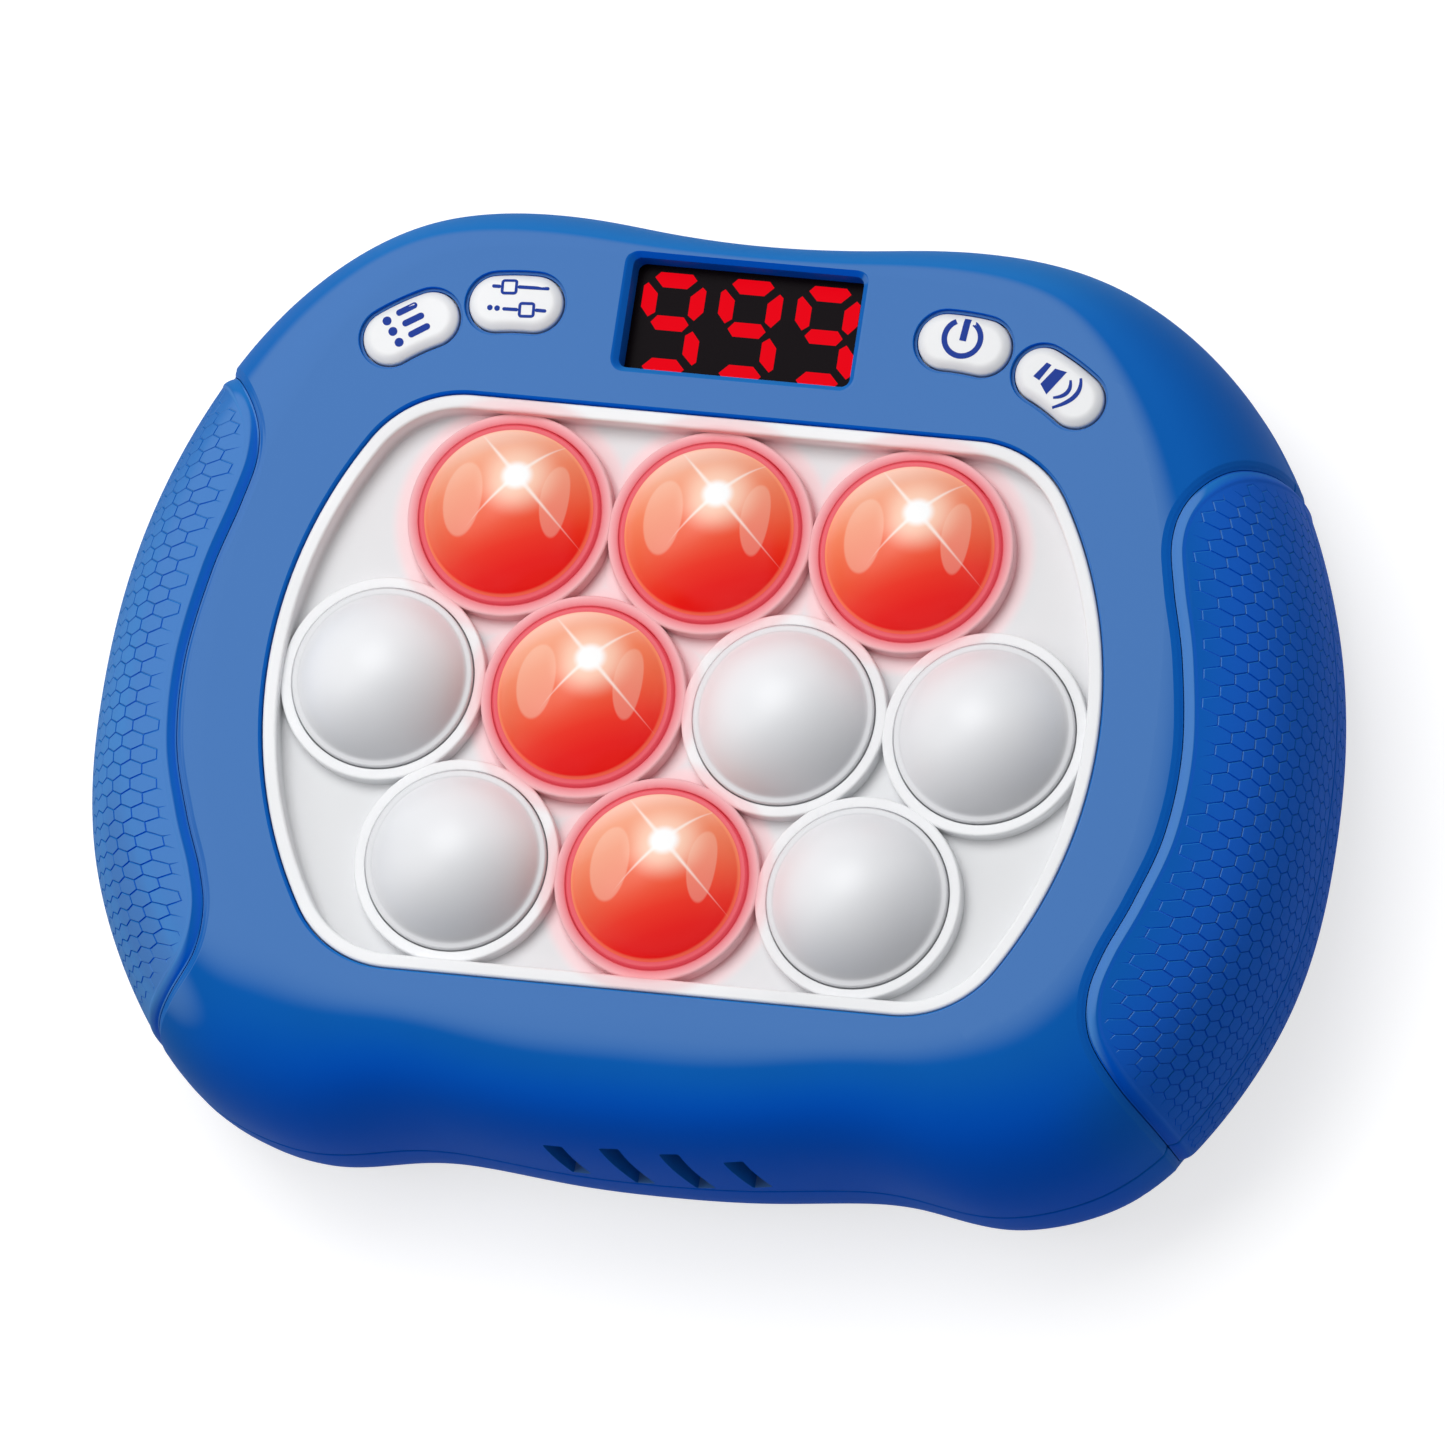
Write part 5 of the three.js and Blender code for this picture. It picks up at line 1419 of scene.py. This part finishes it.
def bubble_centres():
    centres = []
    for row, count in enumerate(BUBBLE_ROWS):
        y = TRAY_Y + ((len(BUBBLE_ROWS) - 1) / 2 - row) * ROW_PITCH
        centres += [((i - (count - 1) / 2) * BUBBLE_PITCH, y) for i in range(count)]
    return centres


CENTRES = bubble_centres()


def clear_groups(spots, apart):
    """Groups of spots in which no two are nearer than a distance."""
    groups = []
    for spot in spots:
        free = [g for g in groups if all(math.dist(spot, other) > apart for other in g)]
        if free:
            free[0].append(spot)
        else:
            groups.append([spot])
    return groups


def make_collar(centre):
    inside, foot = HOLE_RADIUS - COLLAR_ROOT, TRAY_UNDER + COLLAR_ROOT
    steps = [(inside, foot), (COLLAR_RADIUS, foot)]
    steps += round_over(COLLAR_RADIUS, RING_PLANE, COLLAR_ROUND, 4)
    steps.append((inside, RING_PLANE))
    return stack("collar", lambda radius: circle(radius, 128, centre), steps, capped=False)


def make_hole(centre):
    steps = [(HOLE_RADIUS, TRAY_UNDER - OVERRUN)]
    steps += flare(HOLE_RADIUS, RING_PLANE, HOLE_ROUND, 3)
    steps.append((HOLE_RADIUS + HOLE_ROUND, RING_PLANE + OVERRUN / 2))
    return stack("hole", lambda radius: circle(radius, 128, centre), steps)


def make_panel():
    edge, inner = TRAY_EDGE_ROUND, TRAY_RIM_GROWN - TRAY_RIM_WIDTH
    steps = [
        (0, TRAY_UNDER),
        (0, TRAY_FLANGE_LOW),
        (TRAY_FLANGE_WIDTH, TRAY_FLANGE_LOW),
        (TRAY_FLANGE_WIDTH, TRAY_FLANGE_TOP),
        (TRAY_RIM_GROWN, TRAY_FLANGE_TOP),
        *round_over(TRAY_RIM_GROWN, TRAY_RIM_TOP, edge, 4),
        *reversed(flare(inner, TRAY_RIM_TOP, edge, 4)),
        *[(inner - edge + out, TRAY_FLOOR + up) for up, out in reversed(quarter(edge, 3))],
    ]
    panel = stack("tray_panel", tray_outline, steps)
    for group in clear_groups(CENTRES, 2 * COLLAR_RADIUS):
        combine(panel, [make_collar(centre) for centre in group], "UNION")
    combine(panel, [make_hole(centre) for centre in CENTRES], "DIFFERENCE")
    smooth(panel)
    return panel


GLOW_REACH = 18


def paint_tray_glow_and_shade():
    """Painted red glow from the lit bubbles on the collars and floor round them, and painted shade that
    makes the sunken floor greyer.
    """
    paint = Painter(tray_white)
    place = paint.add("ShaderNodeTexCoord", {}).outputs["Object"]
    place = paint.add("ShaderNodeVectorMath", {0: place, "Scale": 1 / MM}, operation="SCALE").outputs[0]
    nearest = CASE_HALF_WIDTH
    for number in LIT_BUBBLES:
        nearest = paint.calculate("MINIMUM", nearest, paint.distance(place, CENTRES[number - 1]))
    height = paint.add("ShaderNodeSeparateXYZ", {0: place}).outputs["Z"]
    # Painted shade: greyer lower down, on the sunken floor
    paint.cover("DCDDDF", height, RING_PLANE - 0.4, TRAY_FLOOR + 0.5)
    # Painted glow: red next to each lit bubble, paling outwards
    glow = paint.ramp(nearest, 13, GLOW_REACH, [
        (13.1, "DC5864"), (14.2, "E8A0A6"), (15.4, "EED0D3"), (GLOW_REACH, "E8DDDF"),
    ])
    paint.cover(glow, nearest, GLOW_REACH, 16.2, 0.95)


paint_tray_glow_and_shade()
dress(make_panel(), tray_white, "root", "tray_white", "face_panel")


# Bubbles

LOCAL = "local"
# Painted light of the lit domes: a bright spot with glare rays, window-like reflections, and a gradient
# from red below to pale above
PAINTED_HOT_SPOT = (1.9, 4.1)
PAINTED_GLARE_RAYS = [(52, 9.5), (137, 12.5)]
PAINTED_REFLECTIONS = [((-5.5, 0.3), (3.1, 5.5), 0.26), ((7.4, 1.4), (1.8, 5.4), 0.22)]
PAINTED_LIGHT_GRADIENT = [
    (-12, "EA0000"), (-9, "EC0C04"), (-6, "EE2E18"), (-3, "EF5231"),
    (0, "F06C48"), (4, "F28660"), (8, "F6AC8C"), (12, "FBD8C4"),
]


def bubble_profile():
    """(radius, height) round a bubble: plunger, inside, foot flange, skirt and dome."""
    skirt = HOLE_RADIUS - BUBBLE_SKIRT_GAP
    inside = skirt - BUBBLE_WALL
    sphere = (DOME_RADIUS ** 2 + DOME_HEIGHT ** 2) / (2 * DOME_HEIGHT)
    centre = BUBBLE_SHOULDER + DOME_HEIGHT - sphere
    spread = math.asin(DOME_RADIUS / sphere)
    profile = [(0, BUBBLE_FOOT), (PLUNGER_RADIUS, BUBBLE_FOOT)]
    inner = sphere - BUBBLE_WALL
    start = math.asin(PLUNGER_RADIUS / inner)
    end = math.asin(min((DOME_RADIUS - BUBBLE_WALL) / inner, 0.99))
    for turn in np.linspace(start, end, 12):
        profile.append((inner * math.sin(turn), centre + inner * math.cos(turn)))
    profile += [
        (inside, BUBBLE_SHOULDER - BUBBLE_WALL),
        (inside, BUBBLE_FOOT),
        (BUBBLE_FLANGE_RADIUS, BUBBLE_FOOT),
        (BUBBLE_FLANGE_RADIUS, BUBBLE_FLANGE_TOP),
        (skirt, BUBBLE_FLANGE_TOP),
    ]
    profile += round_over(skirt, BUBBLE_SHOULDER, BUBBLE_RING_ROUND, 4)
    profile.append((DOME_RADIUS + DOME_FOOT * 0.6, BUBBLE_SHOULDER))
    profile.append((DOME_RADIUS + DOME_FOOT * 0.2, BUBBLE_SHOULDER + DOME_FOOT * 0.15))
    for turn in np.linspace(spread * 0.985, 0, 34)[:-1]:
        profile.append((sphere * math.sin(turn), centre + sphere * math.cos(turn)))
    profile.append((0, BUBBLE_SHOULDER + DOME_HEIGHT))
    return profile


def store_local(thing, centre):
    """Keeps each point's place in mm from the dome's centre, for the painted light."""
    layer = thing.data.attributes.new(LOCAL, "FLOAT_VECTOR", "POINT")
    local = read(thing.data.vertices, "co", 3) / MM - np.array([*centre, 0])
    layer.data.foreach_set("vector", local.ravel())


def paint_lit_bubble():
    """Painted light in a lit dome: a painted gradient from red below to pale above, painted window-like
    reflections, a painted bright spot with glare rays, a painted pale highlight near its edge and a
    painted red glow on its ring; it glows with that colour.
    """
    paint = Painter(bubble_red)
    place = paint.add("ShaderNodeAttribute", {}, attribute_name=LOCAL).outputs["Vector"]
    slant = paint.along(place, (-0.4, 0.92, 0))
    paint.blend(1, paint.ramp(slant, -DOME_RADIUS, DOME_RADIUS, PAINTED_LIGHT_GRADIENT))
    # Painted reflections of soft windows
    for spot, stretch, amount in PAINTED_REFLECTIONS:
        paint.cover("FFE4CE", paint.distance(place, spot, stretch), 1.03, 0.93, amount)
    # Painted glow round the bright spot
    away = paint.distance(place, PAINTED_HOT_SPOT)
    paint.cover("FFD8C0", away, 6.6, 1.7, 0.9)
    # Painted glare rays from the bright spot
    inputs = {0: place, 1: (*PAINTED_HOT_SPOT, 0)}
    offset = paint.add("ShaderNodeVectorMath", inputs, operation="SUBTRACT").outputs[0]
    for degrees, reach in PAINTED_GLARE_RAYS:
        turn = math.radians(degrees)
        across = paint.calculate("ABSOLUTE", paint.along(offset, (-math.sin(turn), math.cos(turn), 0)))
        far = paint.calculate("ABSOLUTE", paint.along(offset, (math.cos(turn), math.sin(turn), 0)))
        taper = paint.calculate("MULTIPLY_ADD", far, 0.5 / reach, across)
        paint.cover("FFF2EA", taper, 0.6, 0.12, 0.85)
    # Painted white core of the bright spot
    paint.cover("FFFFFF", away, 2.6, 1.3)
    # Painted pale highlight near the edge, and painted red glow on the ring round the dome
    from_middle = paint.distance(place, (0, 0))
    paint.cover("FFB080", from_middle, 11.6, 11.9, 0.25)
    paint.cover("E04A58", from_middle, 12.02, 12.2)
    shader = paint.nodes["Principled BSDF"]
    paint.fill(shader, {"Emission Color": paint.colour, "Emission Strength": 0.6})
    paint.blend(0.62, "000000")


def paint_plain_bubble_shade():
    """Unlit dome: painted shade, a little greyer towards its low side and on its ring."""
    paint = Painter(bubble_white)
    place = paint.add("ShaderNodeAttribute", {}, attribute_name=LOCAL).outputs["Vector"]
    # Painted shade towards the low side, away from the light
    paint.cover("C6C7CB", paint.along(place, (-0.5, 0.87, 0)), 2, -11, 0.85)
    # Painted shade at the edge of the dome, on its ring
    paint.cover("CFD0D3", paint.distance(place, (0, 0)), 11.7, 12.1, 0.8)


def make_bubble(number, centre):
    node = f"bubble_{number}"
    bubble = turned(node + "_cap", bubble_profile(), 96, centre)
    store_local(bubble, centre)
    smooth(bubble, sharp=40, weighted=False)
    if number in LIT_BUBBLES:
        dress(bubble, bubble_red, node, "bubble_red", node)
    else:
        dress(bubble, bubble_white, node, "bubble_white", node)


paint_lit_bubble()
paint_plain_bubble_shade()
for index, centre in enumerate(CENTRES):
    make_bubble(index + 1, centre)


# Rubber boots under the bubbles and the buttons

BOOT_WALL = 0.9
BOOT_ROUND = 0.5
BUBBLE_BOOT = {"radius": 5.2, "top_radius": 3, "travel": 3}
BUTTON_BOOT = {"radius": 3.4, "top_radius": 2, "travel": 1}


def make_boot(node, joint, middle, radius, top_radius, travel):
    """Hollow boot, open below, under a key; the travel is not used."""
    low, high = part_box(node)
    base, top = low[2] / MM, high[2] / MM
    profile = [(0, top - BOOT_WALL), (top_radius - BOOT_WALL, top - BOOT_WALL),
               (radius - BOOT_WALL, base), (radius, base)]
    profile += round_over(top_radius, top, BOOT_ROUND, 4)
    boot = turned(node + "_rubber", [*profile, (0, top)], 32, middle)
    smooth(boot, sharp=40)
    dress(boot, boot_grey, "root", "boot_grey", node)
    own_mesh(boot)


for index, centre in enumerate(CENTRES):
    make_boot(f"bubble_boot_{index + 1}", f"bubble_{index + 1}_press", centre, **BUBBLE_BOOT)
for name, button, side in BUTTONS:
    make_boot(f"{name}_boot", f"{name}_button_press", (side * button["x"], button["y"]), **BUTTON_BOOT)


# Function buttons

BUTTON_FLANGE_LOW = 42.1
BUTTON_FLANGE_TOP = 43.3
BUTTON_FLANGE_WIDTH = 0.75
BUTTON_STEM_RADIUS = 1.8


def make_button(name, button, side):
    steps = [
        (BUTTON_FLANGE_WIDTH, BUTTON_FLANGE_LOW),
        (BUTTON_FLANGE_WIDTH, BUTTON_FLANGE_TOP),
        (0, BUTTON_FLANGE_TOP),
        *[(-inset, BUTTON_TOP - down) for inset, down in BUTTON_EDGE],
    ]
    cap = stack(name + "_cap", lambda grow: bean_outline(button, side, grow), steps)
    stem = circle(BUTTON_STEM_RADIUS, 24, (side * button["x"], button["y"]))
    combine(cap, [prism("stem", stem, BUBBLE_FOOT, BUTTON_FLANGE_TOP + ROOT)], "UNION")
    smooth(cap, sharp=45)
    return cap


def button_height(button, points):
    """Height of a button's top at points of its own plane."""
    half = button["length"] / 2 - button["half"]
    spine = (half ** 2 + button["sag"] ** 2) / (2 * button["sag"])
    centre = np.array([0, button["sag"] / 2 - spine])
    end = np.array([half, centre[1] + math.sqrt(spine ** 2 - half ** 2)])
    beside = np.abs(np.linalg.norm(points - centre, axis=-1) - spine)
    beyond = np.linalg.norm(np.abs(points) * [1, 0] + points * [0, 1] - end, axis=-1)
    inset = button["half"] - np.where(np.abs(points[..., 0]) < half, beside, beyond)
    insets, downs = zip(*BUTTON_EDGE)
    return BUTTON_TOP - np.interp(inset, insets, downs)


# Icons: thin raised strips, each from pairs of points on its left and right edges

ICON_PROUD = 0.05
ICON_SUNK = 0.1


def icon_strip(button, side, pairs, closed=False):
    """Raised strip that follows the top of a button."""
    pairs = np.asarray(pairs, float)
    height = button_height(button, pairs)
    placed = button_place(button, side, pairs.reshape(-1, 2)).reshape(pairs.shape)
    rings = []
    for (left, right), (left_top, right_top) in zip(placed, height):
        rings.append(np.array([
            [*left, left_top - ICON_SUNK],
            [*left, left_top + ICON_PROUD],
            [*right, right_top + ICON_PROUD],
            [*right, right_top - ICON_SUNK],
        ]))
    return loft("icon_strip", rings, capped=not closed)


def line_pairs(path, widths, closed=False):
    """Left and right edges of a line drawn along a path with a pen of the given widths."""
    path = np.asarray(path, float)
    if closed:
        ahead = np.roll(path, -1, 0) - np.roll(path, 1, 0)
    else:
        ahead = np.gradient(path, axis=0)
    ahead /= np.linalg.norm(ahead, axis=1, keepdims=True)
    widths = np.broadcast_to(widths, len(path))[:, None]
    beside = np.column_stack([-ahead[:, 1], ahead[:, 0]]) * widths / 2
    return np.stack([path + beside, path - beside], 1)


def bar_pairs(start, end, width, steps=6):
    """Bar with round ends; its length is given overall. With no length to spare it is a dot."""
    start, end = np.array(start, float), np.array(end, float)
    length = np.linalg.norm(end - start)
    radius = width / 2
    turns = np.linspace(0.25, QUARTER, steps)
    rising = radius - radius * np.cos(turns)
    along = np.concatenate([rising, length - rising[::-1]])
    widths = width * np.concatenate([np.sin(turns), np.sin(turns)[::-1]])
    return line_pairs(start + (end - start) * along[:, None] / length, widths)


def dot_pairs(middle, radius):
    x, y = middle
    return bar_pairs((x - radius, y), (x + radius * 1.001, y), 2 * radius)


def arc_pairs(start, middle, end, width, steps=14):
    """Curved line through three points, thinner at its ends."""
    start, middle, end = (np.array(p, float) for p in (start, middle, end))
    t = np.linspace(0, 1, steps)[:, None]
    bend = 2 * middle - (start + end) / 2
    path = (1 - t) ** 2 * start + 2 * t * (1 - t) * bend + t ** 2 * end
    return line_pairs(path, width * (0.55 + 0.45 * np.sin(math.pi * t[:, 0])))


def menu_icon():
    """Three dots with a bar beside each."""
    dots = [(-2.62, 2.1), (-2.44, 0.32), (-2.23, -1.53)]
    bars = [
        ((-1.04, 2.44), (2.21, 2.52)),
        ((-0.82, 0.63), (2.52, 0.68)),
        ((-0.67, -1.23), (2.7, -1.11)),
    ]
    made = [(dot_pairs(dot, 0.65), False) for dot in dots]
    return made + [(bar_pairs(start, end, 0.95), False) for start, end in bars]


def settings_icon():
    """Two sliders with square knobs, and two dots."""
    half = (1, 0.93)
    made = []
    for start, end, knob in (
        ((-3.43, 2.22), (4.84, 1.96), (-0.93, 2.14)),
        ((-1.69, -1.07), (4.66, -1.29), (1.8, -1.17)),
    ):
        reach = half[0] + 0.2
        made.append((bar_pairs(start, (knob[0] - reach, knob[1]), 0.5), False))
        made.append((bar_pairs((knob[0] + reach, knob[1]), end, 0.5), False))
        ring = rounded_box(2 * half[0], 2 * half[1], 0.3, knob, 4)
        made.append((line_pairs(ring, 0.42, closed=True), True))
    return made + [(dot_pairs(dot, 0.4), False) for dot in ((-3.49, -0.93), (-2.45, -1.0))]


def power_icon():
    """Broken ring with an upright bar."""
    turns = np.radians(np.linspace(121, 421.6, 60))
    ring = np.column_stack([-0.24 + 2.6 * np.cos(turns), 0.6 + 2.6 * np.sin(turns)])
    bar = np.linspace((-0.04, 3.48), (-0.15, 0.21), 8)
    return [(line_pairs(ring, 0.8), False), (line_pairs(bar, 0.97), False)]


def volume_icon():
    """Loudspeaker with two waves."""
    box = [((-3.45, 1.57), (-3.76, -1.1)), ((-2.67, 1.69), (-2.7, -1.07))]
    cone = [((-1.92, 1.59), (-2.21, -1.36)), ((-0.24, 2.18), (-0.56, -2.04))]
    near = arc_pairs((0.92, 1.59), (1.66, -0.11), (0.52, -1.84), 0.6)
    far = arc_pairs((1.92, 2.68), (2.89, 0.15), (1.29, -3.02), 0.65)
    return [(box, False), (cone, False), (near, False), (far, False)]


ICONS = {"menu": menu_icon, "settings": settings_icon, "power": power_icon, "volume": volume_icon}

for name, button, side in BUTTONS:
    cap = make_button(name, button, side)
    dress(cap, button_white, name + "_button", "button_white", name + "_button")
    icon = joined([icon_strip(button, side, pairs, closed) for pairs, closed in ICONS[name]()])
    icon.name = name + "_icon"
    dress(icon, icon_blue, name + "_button", "case_blue")


# Digits of the display, each from the same seven bars less one

DIGIT_ROW_Y = 50.5
DIGIT_PITCH = 11.15
DIGIT_SUNK = 0.05
DIGIT_PROUD = 0.02
END_BAR = [(-2.3, 1.07), (2.3, 1.07), (3.05, 0.25), (1.75, -1.08), (-1.75, -1.08), (-3.05, 0.25)]
SIDE_BAR = [(0.5, 2.45), (1.07, 1.95), (1.07, -1.1), (-0.1, -2.45), (-1.07, -1.75), (-1.07, 0.95)]
MIDDLE_BAR = [(-1.9, 1.05), (1.9, 1.05), (2.75, 0), (1.9, -1.05), (-1.9, -1.05), (-2.75, 0)]
NINE = [
    (END_BAR, (0, 6.22), 1, 1), (END_BAR, (0, -6.22), 1, -1), (MIDDLE_BAR, (0, 0), 1, 1),
    (SIDE_BAR, (3.5, 3.14), 1, 1), (SIDE_BAR, (-3.4, 3.19), -1, 1), (SIDE_BAR, (3.57, -3.3), 1, -1),
]


def make_digits():
    bars = []
    for k in (-1, 0, 1):
        for outline, (x, y), flip_x, flip_y in NINE:
            spots = np.array(outline) * (flip_x, flip_y) + (x + k * DIGIT_PITCH, y + DIGIT_ROW_Y)
            low, high = LENS_TOP - DIGIT_SUNK, LENS_TOP + DIGIT_PROUD
            bars.append(prism("bar", spots[::flip_x * flip_y], low, high))
    digits = joined(bars)
    digits.name = "display_digits"
    return digits


dress(make_digits(), digit_red, "root", "bubble_red")


# Floor, light and surroundings

FLOOR_HALF = 3000
FLOOR_HEIGHT = -0.05
FLOOR_WHITE = 0.5
FLOOR_LIFT = 0.68
WORLD_LIGHT = 0.3


def seen_directly(tree):
    """1 for rays from the camera, off a glossy surface or through a clear one, 0 for others."""
    path = tree.add("ShaderNodeLightPath", {}).outputs
    seen = tree.calculate("MAXIMUM", path["Is Camera Ray"], path["Is Glossy Ray"])
    return tree.calculate("MAXIMUM", seen, path["Is Transmission Ray"])


def make_stage():
    sides = ((-1, -1), (1, -1), (1, 1), (-1, 1))
    corners = [(x * FLOOR_HALF * MM, y * FLOOR_HALF * MM, FLOOR_HEIGHT * MM) for x, y in sides]
    mesh = bpy.data.meshes.new("floor")
    mesh.from_pydata(corners, [], [(0, 1, 2, 3)])
    made = bpy.data.materials.new("floor_white")
    tree = Nodes(made)
    tree.fill(tree.nodes["Principled BSDF"], {
        "Base Color": (FLOOR_WHITE, FLOOR_WHITE, FLOOR_WHITE, 1),
        "Roughness": 1,
        "Specular IOR Level": 0,
        "Emission Color": (1, 1, 1, 1),
        "Emission Strength": tree.calculate("MULTIPLY", seen_directly(tree), FLOOR_LIFT),
    })
    mesh.materials.append(made)
    new_object("floor", mesh)

    world = bpy.data.worlds.new("studio")
    tree = Nodes(world)
    inputs = {"Value": seen_directly(tree), "To Min": WORLD_LIGHT, "To Max": 1}
    light = tree.add("ShaderNodeMapRange", inputs).outputs["Result"]
    tree.fill(tree.nodes["Background"], {"Color": (1, 1, 1, 1), "Strength": light})
    bpy.context.scene.world = world


def lamp(name, right, up, back, width, height, power):
    """Soft lamp, in metres along the photograph's view from its middle, aimed at the case."""
    data = bpy.data.lights.new(name, "AREA")
    data.shape = "RECTANGLE"
    data.size = width
    data.size_y = height
    data.energy = power
    thing = new_object(name, data)
    offset = VIEW_RIGHT * right + VIEW_UP * up + VIEW_BACK * back
    thing.location = VIEW_CENTRE * MM + offset
    thing.rotation_mode = "QUATERNION"
    thing.rotation_quaternion = (-offset).to_track_quat("-Z", "Y")
    thing.visible_camera = False


make_stage()
lamp("key", right=-0.5, up=0.8, back=1, width=0.9, height=0.9, power=13)
lamp("left", right=-1, up=0.1, back=0.75, width=0.5, height=1, power=3)
lamp("right", right=1.1, up=-0.1, back=0.5, width=0.35, height=0.8, power=0.5)

# Finishes of the nodes that are shown as packed
for node, finish in (
    ("display_window", window_black), ("display_module", module_black), ("main_board", board_green),
    ("speaker", speaker_black), ("battery_cover", case_blue), ("battery_cover_screw", screw_steel),
    ("battery_contact_negative", contact_plated), ("battery_contact_positive", contact_plated),
    ("battery_jumper_1", contact_plated), ("battery_jumper_2", contact_plated),
    ("battery_lead_negative", lead_black), ("battery_lead_positive", lead_red),
    ("speaker_lead", lead_black),
    *[(f"battery_{i}", cell_sleeve) for i in (1, 2, 3)],
    *[(f"case_screw_{i}", screw_steel) for i in range(1, 7)],
    *[(f"board_screw_{i}", screw_steel) for i in (1, 2)],
):
    for mesh_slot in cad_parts[node].material_slots:
        mesh_slot.material = finish

bpy.context.scene.view_settings.view_transform = "Standard"
